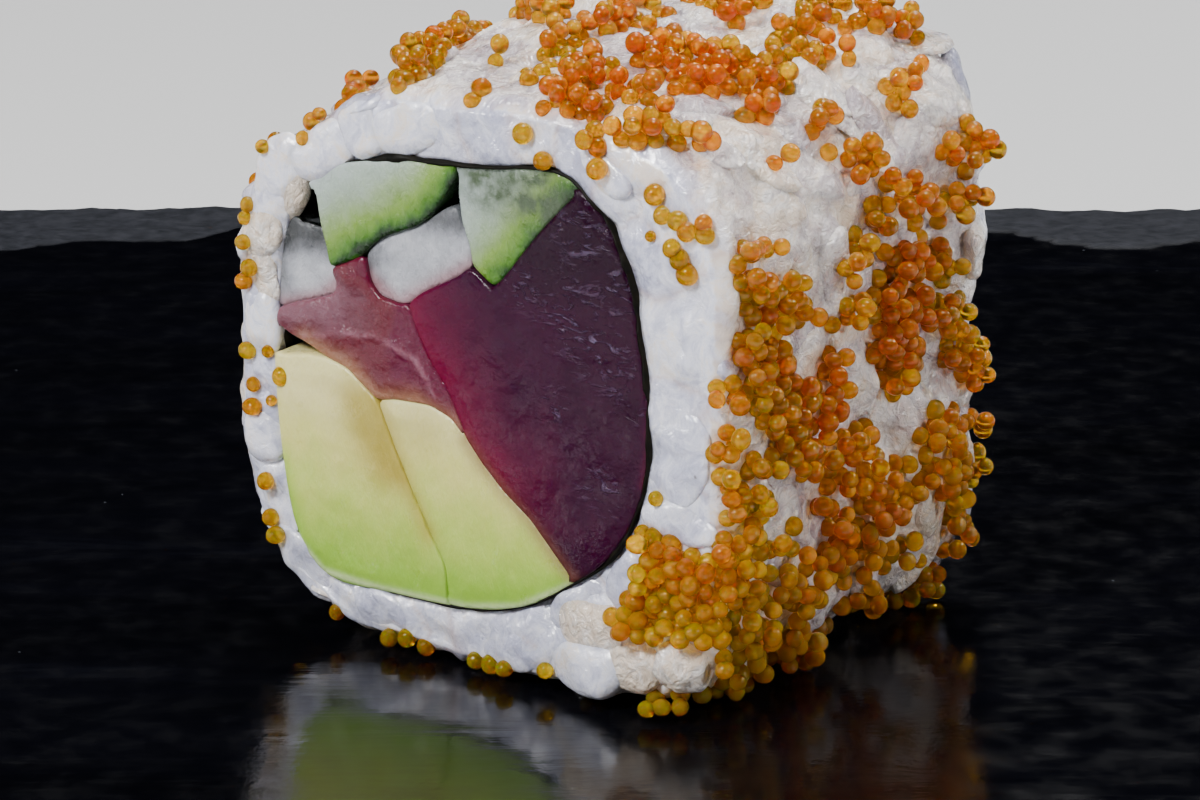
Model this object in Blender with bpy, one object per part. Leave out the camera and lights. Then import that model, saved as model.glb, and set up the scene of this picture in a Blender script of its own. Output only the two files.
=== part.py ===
"""One piece of uramaki, an inside-out sushi roll, standing on a small slate board.

Sizes are in millimetres and MM turns them into Blender's metres. The origin is under the
middle of the board. The roll is drawn on its cut face, in (across, up) from the foot of that
face on the board, and every layer runs straight back from there, as it does in a cut roll.
"""

import math
import random

import bpy
import numpy as np

MM = 0.001
GAP = 0.3  # air between one piece and the next

# ---- the slate board ----
BOARD_WIDTH = 140.0
BOARD_DEPTH = 160.0
BOARD_THICK = 6.0
BOARD_CORNER = 2.0  # corner radius of its outline
BOARD_SPACES = (32, 28)  # points along its longer and its shorter sides
BOARD_SEED = 3
# Rings from the underside up: (drawn in, roughness, both again for the far side, height).
BOARD_RINGS = (
    (0.5, 0.0, 0.5, 0.0, 0.0),
    (0.0, 0.0, 0.0, 0.0, 1.1),
    (0.9, 1.5, 0.9, 2.0, 4.2),
    (1.6, 1.9, 2.0, 3.0, 5.2),
    (2.8, 2.4, 11.0, 14.0, BOARD_THICK),
)

# ---- the roll ----
ROLL_FOOT = (-8.0, -50.3)  # the cut face's foot on the board
ROLL_TURN = math.radians(34.4)  # the roll points this far from +Y, towards +X
ROLL_LENGTH = 31.2

RICE_CENTRE = (-0.8, 19.85)
RICE_HALF_WIDTH = 19.7
RICE_HALF_HEIGHT = 19.55
RICE_SQUARENESS = 4.7  # exponent of the superellipse: 2 is round
RICE_SWELL = 1.07  # size at the back end, where the front end is 1
# Rounding of the two ends: (distance from the end, how far the rim lies in).
RICE_RIM = ((0.0, 0.80), (0.4, 0.36), (1.3, 0.09), (3.2, 0.0))
RICE_ROWS = 8  # spaces between the two rims
# Places where the outside is pressed in or swollen: (angle, spread, height).
RICE_DENTS = (
    (131, 14, -3.3),
    (226, 14, -1.9),
    (317, 10, 0.6),
    (12, 11, -0.3),
    (78, 12, 0.35),
)
# Clumps of rice: (waves around, length of a wave along, phase, height).
RICE_CLUMPS = ((4, 17.0, 0.3, 0.32), (7, 11.0, 1.9, 0.24), (11, 8.0, 4.0, 0.15))

NORI_THICK = 0.3
# The sheet of nori round the fillings, counter-clockwise from the top.
NORI_LINE = (
    (0.0, 35.1), (-6.0, 34.7), (-11.6, 33.6), (-14.0, 31.9), (-16.0, 28.9),
    (-16.9, 24.0), (-17.0, 18.0), (-16.4, 12.0), (-15.2, 7.1), (-12.8, 4.6),
    (-8.0, 4.4), (-1.0, 4.5), (3.4, 5.5), (6.9, 7.5), (10.3, 10.2),
    (12.7, 14.1), (13.5, 19.0), (13.0, 24.0), (11.9, 29.4), (9.8, 33.4),
    (6.3, 35.7),
)  # fmt: skip
NORI_STEPS = 4  # points for each of those

# Borders between the fillings on the cut face. Each is shared by the pieces on its two sides.
AVOCADO_SPLIT = ((-2.6, 5.2), (-2.8, 7.2), (-4.1, 9.4), (-5.4, 11.8), (-7.0, 15.0))
AVOCADO_TOP = (-8.3, 17.9)  # where both slices of avocado meet the tuna
AVOCADO_LEFT_TOP = ((-9.6, 18.8), (-10.8, 19.7), (-12.3, 20.1))
AVOCADO_LEFT_SHOULDER = ((-14.2, 20.1), (-16.0, 19.8))
AVOCADO_RIGHT_TOP = ((-6.8, 18.2), (-4.0, 18.3), (-2.2, 17.7))
TUNA_FOOT = (-0.9, 16.5)  # where the two slices of tuna meet on the avocado
AVOCADO_RIGHT_SIDE = ((0.4, 15.0), (2.1, 13.4), (4.2, 11.9), (6.2, 9.8))
TUNA_SPLIT = ((-2.4, 19.6), (-4.0, 21.6), (-4.9, 23.3))
TUNA_HEAD = (-5.6, 25.0)
TUNA_TIP = ((-16.6, 22.1), (-15.9, 21.4), (-14.2, 20.9))
STICK_LEFT_FOOT = ((-16.2, 23.1), (-15.0, 23.6), (-13.0, 24.2), (-11.8, 24.7), (-11.5, 25.5))
STICK_LEFT_HEAD = (-12.1, 26.4)
STICK_LEFT_SIDE = ((-12.4, 28.0), (-12.7, 28.9))
STICK_LEFT_TOP = ((-14.5, 29.1), (-15.5, 29.0))
STICK_MIDDLE_FOOT = ((-4.5, 25.9), (-3.0, 26.7), (-1.5, 27.5))
STICK_MIDDLE_HEAD = (-0.5, 28.3)
STICK_MIDDLE_SIDE = ((-0.7, 29.6), (-1.3, 31.1))
STICK_MIDDLE_TOP = ((-1.8, 32.2), (-2.6, 31.9))
STICK_MIDDLE_END = ((-6.4, 24.8), (-8.1, 25.1), (-8.9, 26.1))
CUCUMBER_FOOT = ((-10.5, 27.1), (-9.2, 27.8))
CUCUMBER_SKIN = ((-8.5, 28.6), (-7.4, 29.3), (-5.0, 30.3), (-3.8, 31.1))
CUCUMBER_LEFT_TIP = ((-2.7, 32.5), (-1.9, 33.6))
CUCUMBER_LEFT_SIDE = ((-13.2, 31.6), (-12.9, 29.8))
CUCUMBER_RIGHT_SIDE = (-1.6, 33.0)
CUCUMBER_RIGHT_TIP = ((0.4, 27.7), (1.2, 27.1), (2.0, 27.8))
CUCUMBER_RIGHT_SKIN = ((3.0, 29.0), (4.3, 30.6), (5.6, 32.1), (7.0, 33.5))

# How far each filling stands out of the cut at the front and at the back.
PROUD = {
    "tuna_large": (0.25, 0.20),
    "tuna_small": (0.05, 0.30),
    "avocado_left": (0.15, 0.05),
    "avocado_right": (0.00, 0.20),
    "cucumber_left": (0.10, 0.00),
    "cucumber_right": (-0.15, 0.15),
    "cucumber_stick_left": (-0.50, 0.10),
    "cucumber_stick_middle": (-0.25, -0.10),
    "nori": (-0.10, -0.10),
}


def finish(name, colour, roughness):
    """A plain glossy or matt finish of one colour."""
    material = bpy.data.materials.new(name)
    material.use_nodes = True
    shader = material.node_tree.nodes["Principled BSDF"]
    shader.inputs["Base Color"].default_value = (*colour, 1.0)
    shader.inputs["Roughness"].default_value = roughness
    shader.inputs["Metallic"].default_value = 0.0
    return material


FINISHES = {
    "slate": ((0.012, 0.013, 0.017), 0.42),
    "rice": ((0.80, 0.75, 0.72), 0.35),
    "nori": ((0.010, 0.013, 0.008), 0.50),
    "tuna_dark": ((0.085, 0.010, 0.024), 0.28),
    "tuna_pale": ((0.260, 0.060, 0.075), 0.28),
    "avocado": ((0.560, 0.620, 0.210), 0.45),
    "cucumber": ((0.330, 0.460, 0.260), 0.30),
    "cucumber_pale": ((0.480, 0.530, 0.480), 0.30),
}


# ---- outlines ----
def smooth_loop(points, steps):
    """A closed curve through the points, with this many steps to each (Catmull-Rom)."""
    knots = np.array(points)
    before, after, beyond = (np.roll(knots, shift, axis=0) for shift in (1, -1, -2))
    rows = []
    for step in range(steps):
        t = step / steps
        rows.append(
            knots
            + 0.5 * t * (after - before)
            + t * t * (before - 2.5 * knots + 2.0 * after - 0.5 * beyond)
            + t**3 * (1.5 * (knots - after) + 0.5 * (beyond - before))
        )
    return np.stack(rows, axis=1).reshape(-1, 2)


def grown(loop, distance):
    """A counter-clockwise outline moved outwards by this distance, or inwards if negative."""
    ahead = np.roll(loop, -1, axis=0) - loop
    ahead /= np.linalg.norm(ahead, axis=1)[:, None]
    outward = np.stack([ahead[:, 1], -ahead[:, 0]], axis=1)
    corner = outward + np.roll(outward, 1, axis=0)
    corner *= 2.0 / np.maximum((corner * corner).sum(axis=1), 0.3)[:, None]
    return loop + distance * corner


NORI_LOOP = smooth_loop(NORI_LINE, NORI_STEPS)
WALL = grown(NORI_LOOP, -(NORI_THICK + GAP) / 2)  # the fillings reach this far out


def wall(start, end):
    """The wall's points from the one nearest to start to the one nearest to end."""
    first, last = (
        int(np.argmin(np.linalg.norm(WALL - np.array(place), axis=1)))
        for place in (start, end)
    )
    count = (last - first) % len(WALL) + 1
    return [tuple(WALL[(first + step) % len(WALL)]) for step in range(count)]


def back(border):
    """The same border, walked the other way."""
    return tuple(reversed(border))


def outlines():
    """Each filling's outline on the cut face, counter-clockwise."""
    tuna_top = (CUCUMBER_RIGHT_SKIN[-1], CUCUMBER_LEFT_TIP[-1], CUCUMBER_LEFT_SIDE[0])
    return {
        "avocado_left": (
            *wall(AVOCADO_LEFT_SHOULDER[-1], AVOCADO_SPLIT[0]),
            *AVOCADO_SPLIT,
            AVOCADO_TOP,
            *AVOCADO_LEFT_TOP,
            *AVOCADO_LEFT_SHOULDER,
        ),
        "avocado_right": (
            *wall(AVOCADO_SPLIT[0], AVOCADO_RIGHT_SIDE[-1]),
            *back(AVOCADO_RIGHT_SIDE),
            TUNA_FOOT,
            *back(AVOCADO_RIGHT_TOP),
            AVOCADO_TOP,
            *back(AVOCADO_SPLIT),
        ),
        "tuna_large": (
            *wall(AVOCADO_RIGHT_SIDE[-1], tuna_top[0]),
            *back(CUCUMBER_RIGHT_SKIN),
            *back(CUCUMBER_RIGHT_TIP),
            STICK_MIDDLE_HEAD,
            *back(STICK_MIDDLE_FOOT),
            TUNA_HEAD,
            *back(TUNA_SPLIT),
            TUNA_FOOT,
            *AVOCADO_RIGHT_SIDE,
        ),
        "tuna_small": (
            *TUNA_TIP,
            *back(AVOCADO_LEFT_TOP),
            AVOCADO_TOP,
            *AVOCADO_RIGHT_TOP,
            TUNA_FOOT,
            *TUNA_SPLIT,
            TUNA_HEAD,
            *STICK_MIDDLE_END,
            *back(CUCUMBER_FOOT),
            STICK_LEFT_HEAD,
            *back(STICK_LEFT_FOOT),
        ),
        "cucumber_left": (
            STICK_LEFT_HEAD,
            *CUCUMBER_FOOT,
            *CUCUMBER_SKIN,
            *CUCUMBER_LEFT_TIP,
            *wall(tuna_top[1], tuna_top[2]),
            *CUCUMBER_LEFT_SIDE,
            *back(STICK_LEFT_SIDE),
        ),
        "cucumber_right": (
            STICK_MIDDLE_HEAD,
            *CUCUMBER_RIGHT_TIP,
            *CUCUMBER_RIGHT_SKIN,
            *wall(tuna_top[0], tuna_top[1]),
            CUCUMBER_RIGHT_SIDE,
            *back(STICK_MIDDLE_SIDE),
        ),
        "cucumber_stick_middle": (
            TUNA_HEAD,
            *STICK_MIDDLE_FOOT,
            STICK_MIDDLE_HEAD,
            *STICK_MIDDLE_SIDE,
            *STICK_MIDDLE_TOP,
            *back(CUCUMBER_SKIN),
            CUCUMBER_FOOT[-1],
            *back(STICK_MIDDLE_END),
        ),
        "cucumber_stick_left": (
            *STICK_LEFT_FOOT,
            STICK_LEFT_HEAD,
            *STICK_LEFT_SIDE,
            *STICK_LEFT_TOP,
            *wall(STICK_LEFT_TOP[-1], STICK_LEFT_FOOT[0]),
        ),
    }


# ---- shapes ----
def run_through(name, loops, material, parent):
    """A layer of the roll: its outline, with any hole in it, run from end to end."""
    front, rear = PROUD[name]
    curve = bpy.data.curves.new(name, "CURVE")
    curve.dimensions = "2D"
    curve.fill_mode = "BOTH"
    curve.extrude = (ROLL_LENGTH + front + rear) / 2 * MM
    for loop in loops:
        spline = curve.splines.new("POLY")
        spline.points.add(len(loop) - 1)
        for point, (across, up) in zip(spline.points, loop):
            point.co = (across * MM, up * MM, 0.0, 1.0)
        spline.use_cyclic_u = True
    curve.materials.append(material)
    layer = bpy.data.objects.new(name, curve)
    layer.parent = parent
    layer.location = (0.0, (ROLL_LENGTH + rear - front) / 2 * MM, 0.0)
    layer.rotation_euler = (math.radians(90.0), 0.0, 0.0)
    return layer


def joined_rings(name, rings, closed, material):
    """A solid lofted through rings of equally many points, in mm.

    Closed joins the last ring to the first, as in a pipe. Otherwise both ends are filled.
    """
    around = len(rings[0])
    points = [tuple(value * MM for value in point) for ring in rings for point in ring]
    faces = []
    for row in range(len(rings) if closed else len(rings) - 1):
        low, high = row * around, (row + 1) % len(rings) * around
        for step in range(around):
            turn = (step + 1) % around
            faces.append((low + step, low + turn, high + turn, high + step))
    if not closed:
        faces.append(tuple(reversed(range(around))))
        faces.append(tuple(range(len(points) - around, len(points))))
    mesh = bpy.data.meshes.new(name)
    mesh.from_pydata(points, [], faces)
    mesh.materials.append(material)
    mesh.shade_smooth()
    mesh.set_sharp_from_angle(angle=math.radians(40.0))
    return bpy.data.objects.new(name, mesh)


# ---- the board ----
def board_ring(inset, rough, far_inset, far_rough, height):
    """One ring of the board: its outline, drawn in by inset and, by chance, up to rough more.

    The far side is drawn in by its own amounts, and its edge wanders in long flakes.
    """
    dice = random.Random(BOARD_SEED)
    right = BOARD_WIDTH / 2 - inset
    near, far = inset - BOARD_DEPTH / 2, BOARD_DEPTH / 2 - far_inset
    corners = [np.array(place) for place in ((right, near), (right, far), (-right, far), (-right, near))]
    ring = []
    for index, corner in enumerate(corners):
        heading = math.radians(90.0 * index)  # the way out through the side that this corner starts
        out = np.array((math.cos(heading), math.sin(heading)))
        forward = np.array((-out[1], out[0]))
        for turn in (0.0, 0.5, 1.0):  # round the corner, a quarter circle in three points
            angle = heading + math.radians(90.0 * (turn - 1.0))
            spoke = np.array((math.cos(angle), math.sin(angle)))
            ring.append(corner + BOARD_CORNER * (spoke - out + forward))
        start = ring[-1]
        length = float(np.linalg.norm(corners[(index + 1) % 4] - corner)) - 2 * BOARD_CORNER
        spaces = BOARD_SPACES[index % 2]
        for step in range(1, spaces):
            bite = rough * dice.random()
            if index == 1:
                wander = 0.5 + 0.3 * math.sin(0.55 * step) + 0.2 * math.sin(1.7 * step + 1.0)
                bite = far_rough * (0.85 * wander + 0.15 * dice.random())
            ring.append(start + length * step / spaces * forward - bite * out)
    return [(float(x), float(y), height) for x, y in ring]


def board(material):
    """A split slate tile: hewn sides, a broken edge all round, a flaked strip at the back."""
    rings = [board_ring(*ring) for ring in BOARD_RINGS]
    return joined_rings("board", rings, False, material)


# ---- the rice ----
def swell(along):
    return 1.0 + (RICE_SWELL - 1.0) * along / ROLL_LENGTH


def rice_outside(angle, along, rim):
    """A point on the outside of the rice, at this angle round the roll."""
    cosine, sine = math.cos(angle), math.sin(angle)
    square = (abs(cosine) ** RICE_SQUARENESS + abs(sine) ** RICE_SQUARENESS) ** (
        -1.0 / RICE_SQUARENESS
    )
    relief = -rim
    for place, spread, height in RICE_DENTS:
        away = (math.degrees(angle) - place + 180.0) % 360.0 - 180.0
        relief += height * math.exp(-((away / spread) ** 2))
    for waves, wavelength, phase, height in RICE_CLUMPS:
        across = math.sin(waves * angle + phase)
        relief += height * across * math.cos(math.tau * along / wavelength + 2.0 * phase)
    size = swell(along)
    centre_up = GAP + RICE_HALF_HEIGHT * size
    radius_across = RICE_HALF_WIDTH * size * square + relief
    radius_up = RICE_HALF_HEIGHT * size * square + relief
    across = RICE_CENTRE[0] + radius_across * cosine
    up = centre_up + radius_up * sine
    return across, max(up, GAP + rim)  # flat where it stands on the board


def rice(material, parent):
    """The layer of rice, a thick-walled pipe whose outside is lumpy and swells to the back."""
    bore = grown(NORI_LOOP, NORI_THICK / 2 + GAP)
    angles = np.arctan2(bore[:, 1] - RICE_CENTRE[1], bore[:, 0] - RICE_CENTRE[0])
    last_rim = RICE_RIM[-1][0]
    middle = np.linspace(ROLL_LENGTH - last_rim, last_rim, RICE_ROWS + 1)[1:-1]
    stations = [  # from the back end to the cut face
        *((ROLL_LENGTH - away, rim) for away, rim in RICE_RIM),
        *((along, 0.0) for along in middle),
        *reversed(RICE_RIM),
    ]
    rings = []
    for along, rim in stations:
        ring = []
        for angle in angles:
            across, up = rice_outside(float(angle), float(along), rim)
            ring.append((across, float(along), up))
        rings.append(ring)
    for along in (0.0, ROLL_LENGTH / 2, ROLL_LENGTH):
        rings.append([(float(across), along, float(up)) for across, up in bore])
    layer = joined_rings("rice", rings, True, material)
    layer.parent = parent
    return layer


def main():
    for thing in list(bpy.data.objects):
        bpy.data.objects.remove(thing, do_unlink=True)
    finishes = {name: finish(name, *look) for name, look in FINISHES.items()}
    whole = bpy.data.collections.new("uramaki_roll")
    bpy.context.scene.collection.children.link(whole)

    roll = bpy.data.objects.new("roll_foot", None)
    roll.location = (ROLL_FOOT[0] * MM, ROLL_FOOT[1] * MM, BOARD_THICK * MM)
    roll.rotation_euler = (0.0, 0.0, -ROLL_TURN)

    pieces = [board(finishes["slate"]), roll, rice(finishes["rice"], roll)]
    sheet = [grown(NORI_LOOP, side * NORI_THICK / 2) for side in (1, -1)]
    pieces.append(run_through("nori", sheet, finishes["nori"], roll))
    looks = {
        "avocado_left": "avocado",
        "avocado_right": "avocado",
        "tuna_large": "tuna_dark",
        "tuna_small": "tuna_pale",
        "cucumber_left": "cucumber",
        "cucumber_right": "cucumber",
        "cucumber_stick_left": "cucumber_pale",
        "cucumber_stick_middle": "cucumber_pale",
    }
    for name, outline in outlines().items():
        loop = grown(np.array(outline), -GAP / 2)
        pieces.append(run_through(name, [loop], finishes[looks[name]], roll))
    for piece in pieces:
        whole.objects.link(piece)


main()
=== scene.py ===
"""Looks for one piece of uramaki on its slate board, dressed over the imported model.

The roll's own pieces are made in the roll's frame, in millimetres: u across the cut face,
y back along the roll, z up from the board. MM and ROLL carry them into the part's frame.
"""

import math
from collections import namedtuple

import bmesh
import bpy
import numpy as np
from mathutils import Matrix, Vector
from mathutils.bvhtree import BVHTree
from mathutils.geometry import delaunay_2d_cdt


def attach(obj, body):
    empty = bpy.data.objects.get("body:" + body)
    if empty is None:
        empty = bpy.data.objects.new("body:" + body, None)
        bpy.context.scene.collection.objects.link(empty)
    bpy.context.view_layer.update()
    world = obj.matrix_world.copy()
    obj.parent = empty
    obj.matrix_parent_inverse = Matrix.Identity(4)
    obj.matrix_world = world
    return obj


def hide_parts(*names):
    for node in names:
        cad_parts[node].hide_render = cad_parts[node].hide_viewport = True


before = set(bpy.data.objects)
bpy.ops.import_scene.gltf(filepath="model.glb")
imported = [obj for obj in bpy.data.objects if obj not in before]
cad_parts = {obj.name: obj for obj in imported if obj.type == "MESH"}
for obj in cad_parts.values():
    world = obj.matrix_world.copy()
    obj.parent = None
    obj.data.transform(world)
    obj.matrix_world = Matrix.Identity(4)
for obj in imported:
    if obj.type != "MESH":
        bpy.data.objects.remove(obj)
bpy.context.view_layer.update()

MM = 0.001
DICE = np.random.default_rng(20)

# ---- the roll's place and size, as the solids have them ----
BOARD_TOP = 6.0
ROLL_FOOT = (-8.0, -50.3)
ROLL_TURN = math.radians(34.4)
ROLL_LENGTH = 31.2
ROLL = Matrix.Translation((ROLL_FOOT[0] * MM, ROLL_FOOT[1] * MM, BOARD_TOP * MM)) @ Matrix.Rotation(
    -ROLL_TURN, 4, "Z"
)
AXIS = (-0.8, 20.6)  # (u, z) of the line that angles round the roll are taken about

GRAIN = (6.2, 3.0)  # a cooked grain: length and width
BEAD = 0.64  # radius of a roe bead


# ---- meshes ----
def added(name, data):
    """A new object in the scene."""
    thing = bpy.data.objects.new(name, data)
    bpy.context.scene.collection.objects.link(thing)
    return thing


def piece(name, points, faces, look, attributes=(), matrix=ROLL):
    """A piece from points in mm, with its look and its point attributes, on the part's one body."""
    mesh = bpy.data.meshes.new(name)
    points = np.asarray(points, dtype=np.float32) * MM
    faces = np.asarray(faces, dtype=np.int32)
    corners = faces.shape[1]
    mesh.vertices.add(len(points))
    mesh.vertices.foreach_set("co", points.ravel())
    mesh.loops.add(faces.size)
    mesh.loops.foreach_set("vertex_index", faces.ravel())
    mesh.polygons.add(len(faces))
    mesh.polygons.foreach_set("loop_start", np.arange(0, faces.size, corners, dtype=np.int32))
    mesh.update(calc_edges=True)
    mesh.validate()
    for label, values in dict(attributes).items():
        layer = mesh.attributes.new(label, "FLOAT", "POINT")
        layer.data.foreach_set("value", np.asarray(values, dtype=np.float32))
    mesh.shade_smooth()
    mesh.materials.append(look.material)
    thing = added(name, mesh)
    thing.matrix_world = matrix
    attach(thing, "root")
    return thing


def arrays(mesh):
    """A mesh's points and triangles as arrays."""
    points = np.empty(len(mesh.vertices) * 3, dtype=np.float32)
    mesh.vertices.foreach_get("co", points)
    mesh.calc_loop_triangles()
    triangles = np.empty(len(mesh.loop_triangles) * 3, dtype=np.int32)
    mesh.loop_triangles.foreach_get("vertices", triangles)
    return points.reshape(-1, 3).astype(float), triangles.reshape(-1, 3)


def node_arrays(node, matrix=ROLL):
    """A solid's points in mm in the given frame, and its triangles."""
    points, triangles = arrays(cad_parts[node].data)
    into = np.array(matrix.inverted())
    return (points @ into[:3, :3].T + into[:3, 3]) / MM, triangles


def tree_of(points, faces):
    """What a mesh's surface is searched with."""
    return BVHTree.FromPolygons(points.tolist(), faces.tolist())


def tube_faces(rows, columns):
    """The faces of a closed skin whose rows of points each run round it, the last joined to the first."""
    row = np.arange(rows)[:, None] * columns
    after = (np.arange(rows)[:, None] + 1) % rows * columns
    step = np.arange(columns)[None, :]
    turn = (step + 1) % columns
    faces = np.stack([row + step, row + turn, after + turn, after + step], axis=-1).reshape(-1, 4)
    return faces[:, ::-1]


def unit(vectors):
    return vectors / np.linalg.norm(vectors, axis=-1)[..., None]


def clipped(values):
    return np.clip(values, 0.0, 1.0)


def normals_of(points, triangles):
    """The direction out of the surface at each point."""
    a, b, c = (points[triangles[:, corner]] for corner in range(3))
    flat = np.cross(b - a, c - a)
    out = np.zeros_like(points)
    for corner in range(3):
        np.add.at(out, triangles[:, corner], flat)
    return out / np.maximum(np.linalg.norm(out, axis=1), 1e-12)[:, None]


def remeshed(node, voxel, rounds, matrix=ROLL):
    """A solid made over in small even faces and smoothed, as (points, quads, normals)."""
    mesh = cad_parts[node].data.copy()
    mesh.transform(matrix.inverted())
    thing = added(node + "_source", mesh)
    remesh = thing.modifiers.new("voxels", "REMESH")
    remesh.mode = "VOXEL"
    remesh.voxel_size = voxel * MM
    made = thing.evaluated_get(bpy.context.evaluated_depsgraph_get()).to_mesh()
    points, triangles = arrays(made)
    quads = np.array([list(face.vertices) for face in made.polygons], dtype=np.int32)
    edges = np.empty(len(made.edges) * 2, dtype=np.int32)
    made.edges.foreach_get("vertices", edges)
    thing.to_mesh_clear()
    bpy.data.objects.remove(thing, do_unlink=True)
    bpy.data.meshes.remove(mesh)
    points /= MM
    edges = edges.reshape(-1, 2)
    for _ in range(rounds):
        total = np.zeros_like(points)
        count = np.zeros(len(points))
        for one, other in ((0, 1), (1, 0)):
            np.add.at(total, edges[:, one], points[edges[:, other]])
            np.add.at(count, edges[:, one], 1.0)
        points = 0.5 * points + 0.5 * total / count[:, None]
    return points, quads, normals_of(points, triangles)


# ---- noise, as a sum of smooth bumps on a lattice ----
LATTICE_SIDE = 64
LATTICE = DICE.random((LATTICE_SIDE,) * 3)


def value_noise(points, size):
    """Smooth noise from -1 to 1 at points in mm, with features of about this size."""
    place = np.asarray(points) / size + 17.3
    low = np.floor(place).astype(int)
    t = place - low
    t = t * t * (3.0 - 2.0 * t)
    total = np.zeros(len(place))
    for corner in range(8):
        step = np.array([corner & 1, corner >> 1 & 1, corner >> 2])
        weight = np.prod(np.where(step, t, 1.0 - t), axis=1)
        cell = (low + step) % LATTICE_SIDE
        total += weight * LATTICE[cell[:, 0], cell[:, 1], cell[:, 2]]
    return 2.0 * total - 1.0


def layered_noise(points, size, layers=3):
    """The noise with finer and fainter layers of itself on top."""
    return sum(
        value_noise(np.asarray(points) + 31.7 * layer, size / 2**layer) / 2**layer
        for layer in range(layers)
    )


# ---- looks ----
class Look:
    """A Principled material, with short calls for the nodes that feed it."""

    def __init__(self, name, slot, **sockets):
        self.material = bpy.data.materials.new(name)
        self.material.use_nodes = True
        self.slot = slot
        self.tree = self.material.node_tree
        self.shader = self.tree.nodes["Principled BSDF"]
        self.fill(self.shader, sockets)
        coords = self.add("TexCoord").outputs["Object"]
        self.place = self.add("Mapping", Scale=(1 / MM, 1 / MM, 1 / MM), Vector=coords).outputs["Vector"]

    def put(self, target, value):
        """Sets a socket from a number, a colour or another socket."""
        if isinstance(value, bpy.types.NodeSocket):
            self.tree.links.new(value, target)
        else:
            target.default_value = value

    def fill(self, node, sockets):
        for socket, value in sockets.items():
            self.put(node.inputs[socket.replace("_", " ")], value)

    def add(self, kind, **sockets):
        node = self.tree.nodes.new("ShaderNode" + kind)
        self.fill(node, sockets)
        return node

    def set(self, socket, value):
        self.put(self.shader.inputs[socket], value)

    def stretched(self, factors, turn=(0.0, 0.0, 0.0)):
        return self.add("Mapping", Scale=factors, Rotation=turn, Vector=self.place).outputs["Vector"]

    def noise(self, size, detail=3.0, roughness=0.55, place=None, distortion=0.0):
        return self.add(
            "TexNoise",
            Scale=1.0 / size,
            Detail=detail,
            Roughness=roughness,
            Distortion=distortion,
            Vector=place or self.place,
        ).outputs["Fac"]

    def cells(self, size):
        return self.add("TexVoronoi", Scale=1.0 / size, Vector=self.place).outputs["Distance"]

    def attribute(self, name, times=None):
        """A point attribute, times a number if one is given."""
        node = self.add("Attribute")
        node.attribute_name = name
        value = node.outputs["Fac"]
        return value if times is None else self.times(value, times)

    def ramp(self, source, *stops):
        """A colour for each value of the source: stops are (value, colour or grey level)."""
        node = self.add("ValToRGB", Fac=source)
        elements = node.color_ramp.elements
        while len(elements) < len(stops):
            elements.new(0.5)
        for element, (position, colour) in zip(elements, stops):
            element.position = position
            shade = (colour,) * 3 if isinstance(colour, float) else colour
            element.color = (*shade, 1.0)
        return node.outputs["Color"]

    def mix(self, factor, first, second):
        node = self.add("Mix")
        node.data_type = "RGBA"
        self.put(node.inputs["Factor"], factor)
        for socket, value in (("A", first), ("B", second)):
            target = next(s for s in node.inputs if s.name == socket and s.type == "RGBA")
            self.put(target, (*value, 1.0) if isinstance(value, tuple) else value)
        return next(s for s in node.outputs if s.type == "RGBA")

    def sums(self, operation, *values):
        node = self.add("Math")
        node.operation = operation
        for target, value in zip(node.inputs, values):
            self.put(target, value)
        return node.outputs["Value"]

    def times(self, *values):
        return self.sums("MULTIPLY", *values)

    def uneven(self, amount, *noise):
        """Noise about 0 that spans this amount."""
        return self.times(self.sums("SUBTRACT", self.noise(*noise), 0.5), amount)

    def toned(self, attribute, uneven, *stops):
        """Colours by a point attribute, made a little uneven."""
        return self.ramp(self.sums("ADD", self.attribute(attribute), uneven), *stops)

    def gloss(self, size, wet, dull, low=0.35, high=0.65):
        """Sets a roughness that wanders between a wet and a dull one."""
        self.set("Roughness", self.ramp(self.noise(size, 3.0), (low, wet), (high, dull)))

    def bump(self, height, distance, strength=1.0, over=None):
        """Relief of this depth in mm, on top of an earlier one if that is given."""
        node = self.add("Bump", Strength=strength, Distance=distance * MM, Height=height)
        if over is not None:
            self.put(node.inputs["Normal"], over)
        return node.outputs["Normal"]


def flesh(name, slot, roughness, scatter, depth, **more):
    """A moist, slightly see-through food: scatter is how much light goes in, depth how far, in mm."""
    depth *= MM
    return Look(
        name, slot, Roughness=roughness, Subsurface_Weight=scatter, Subsurface_Scale=depth, **more
    )


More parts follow.
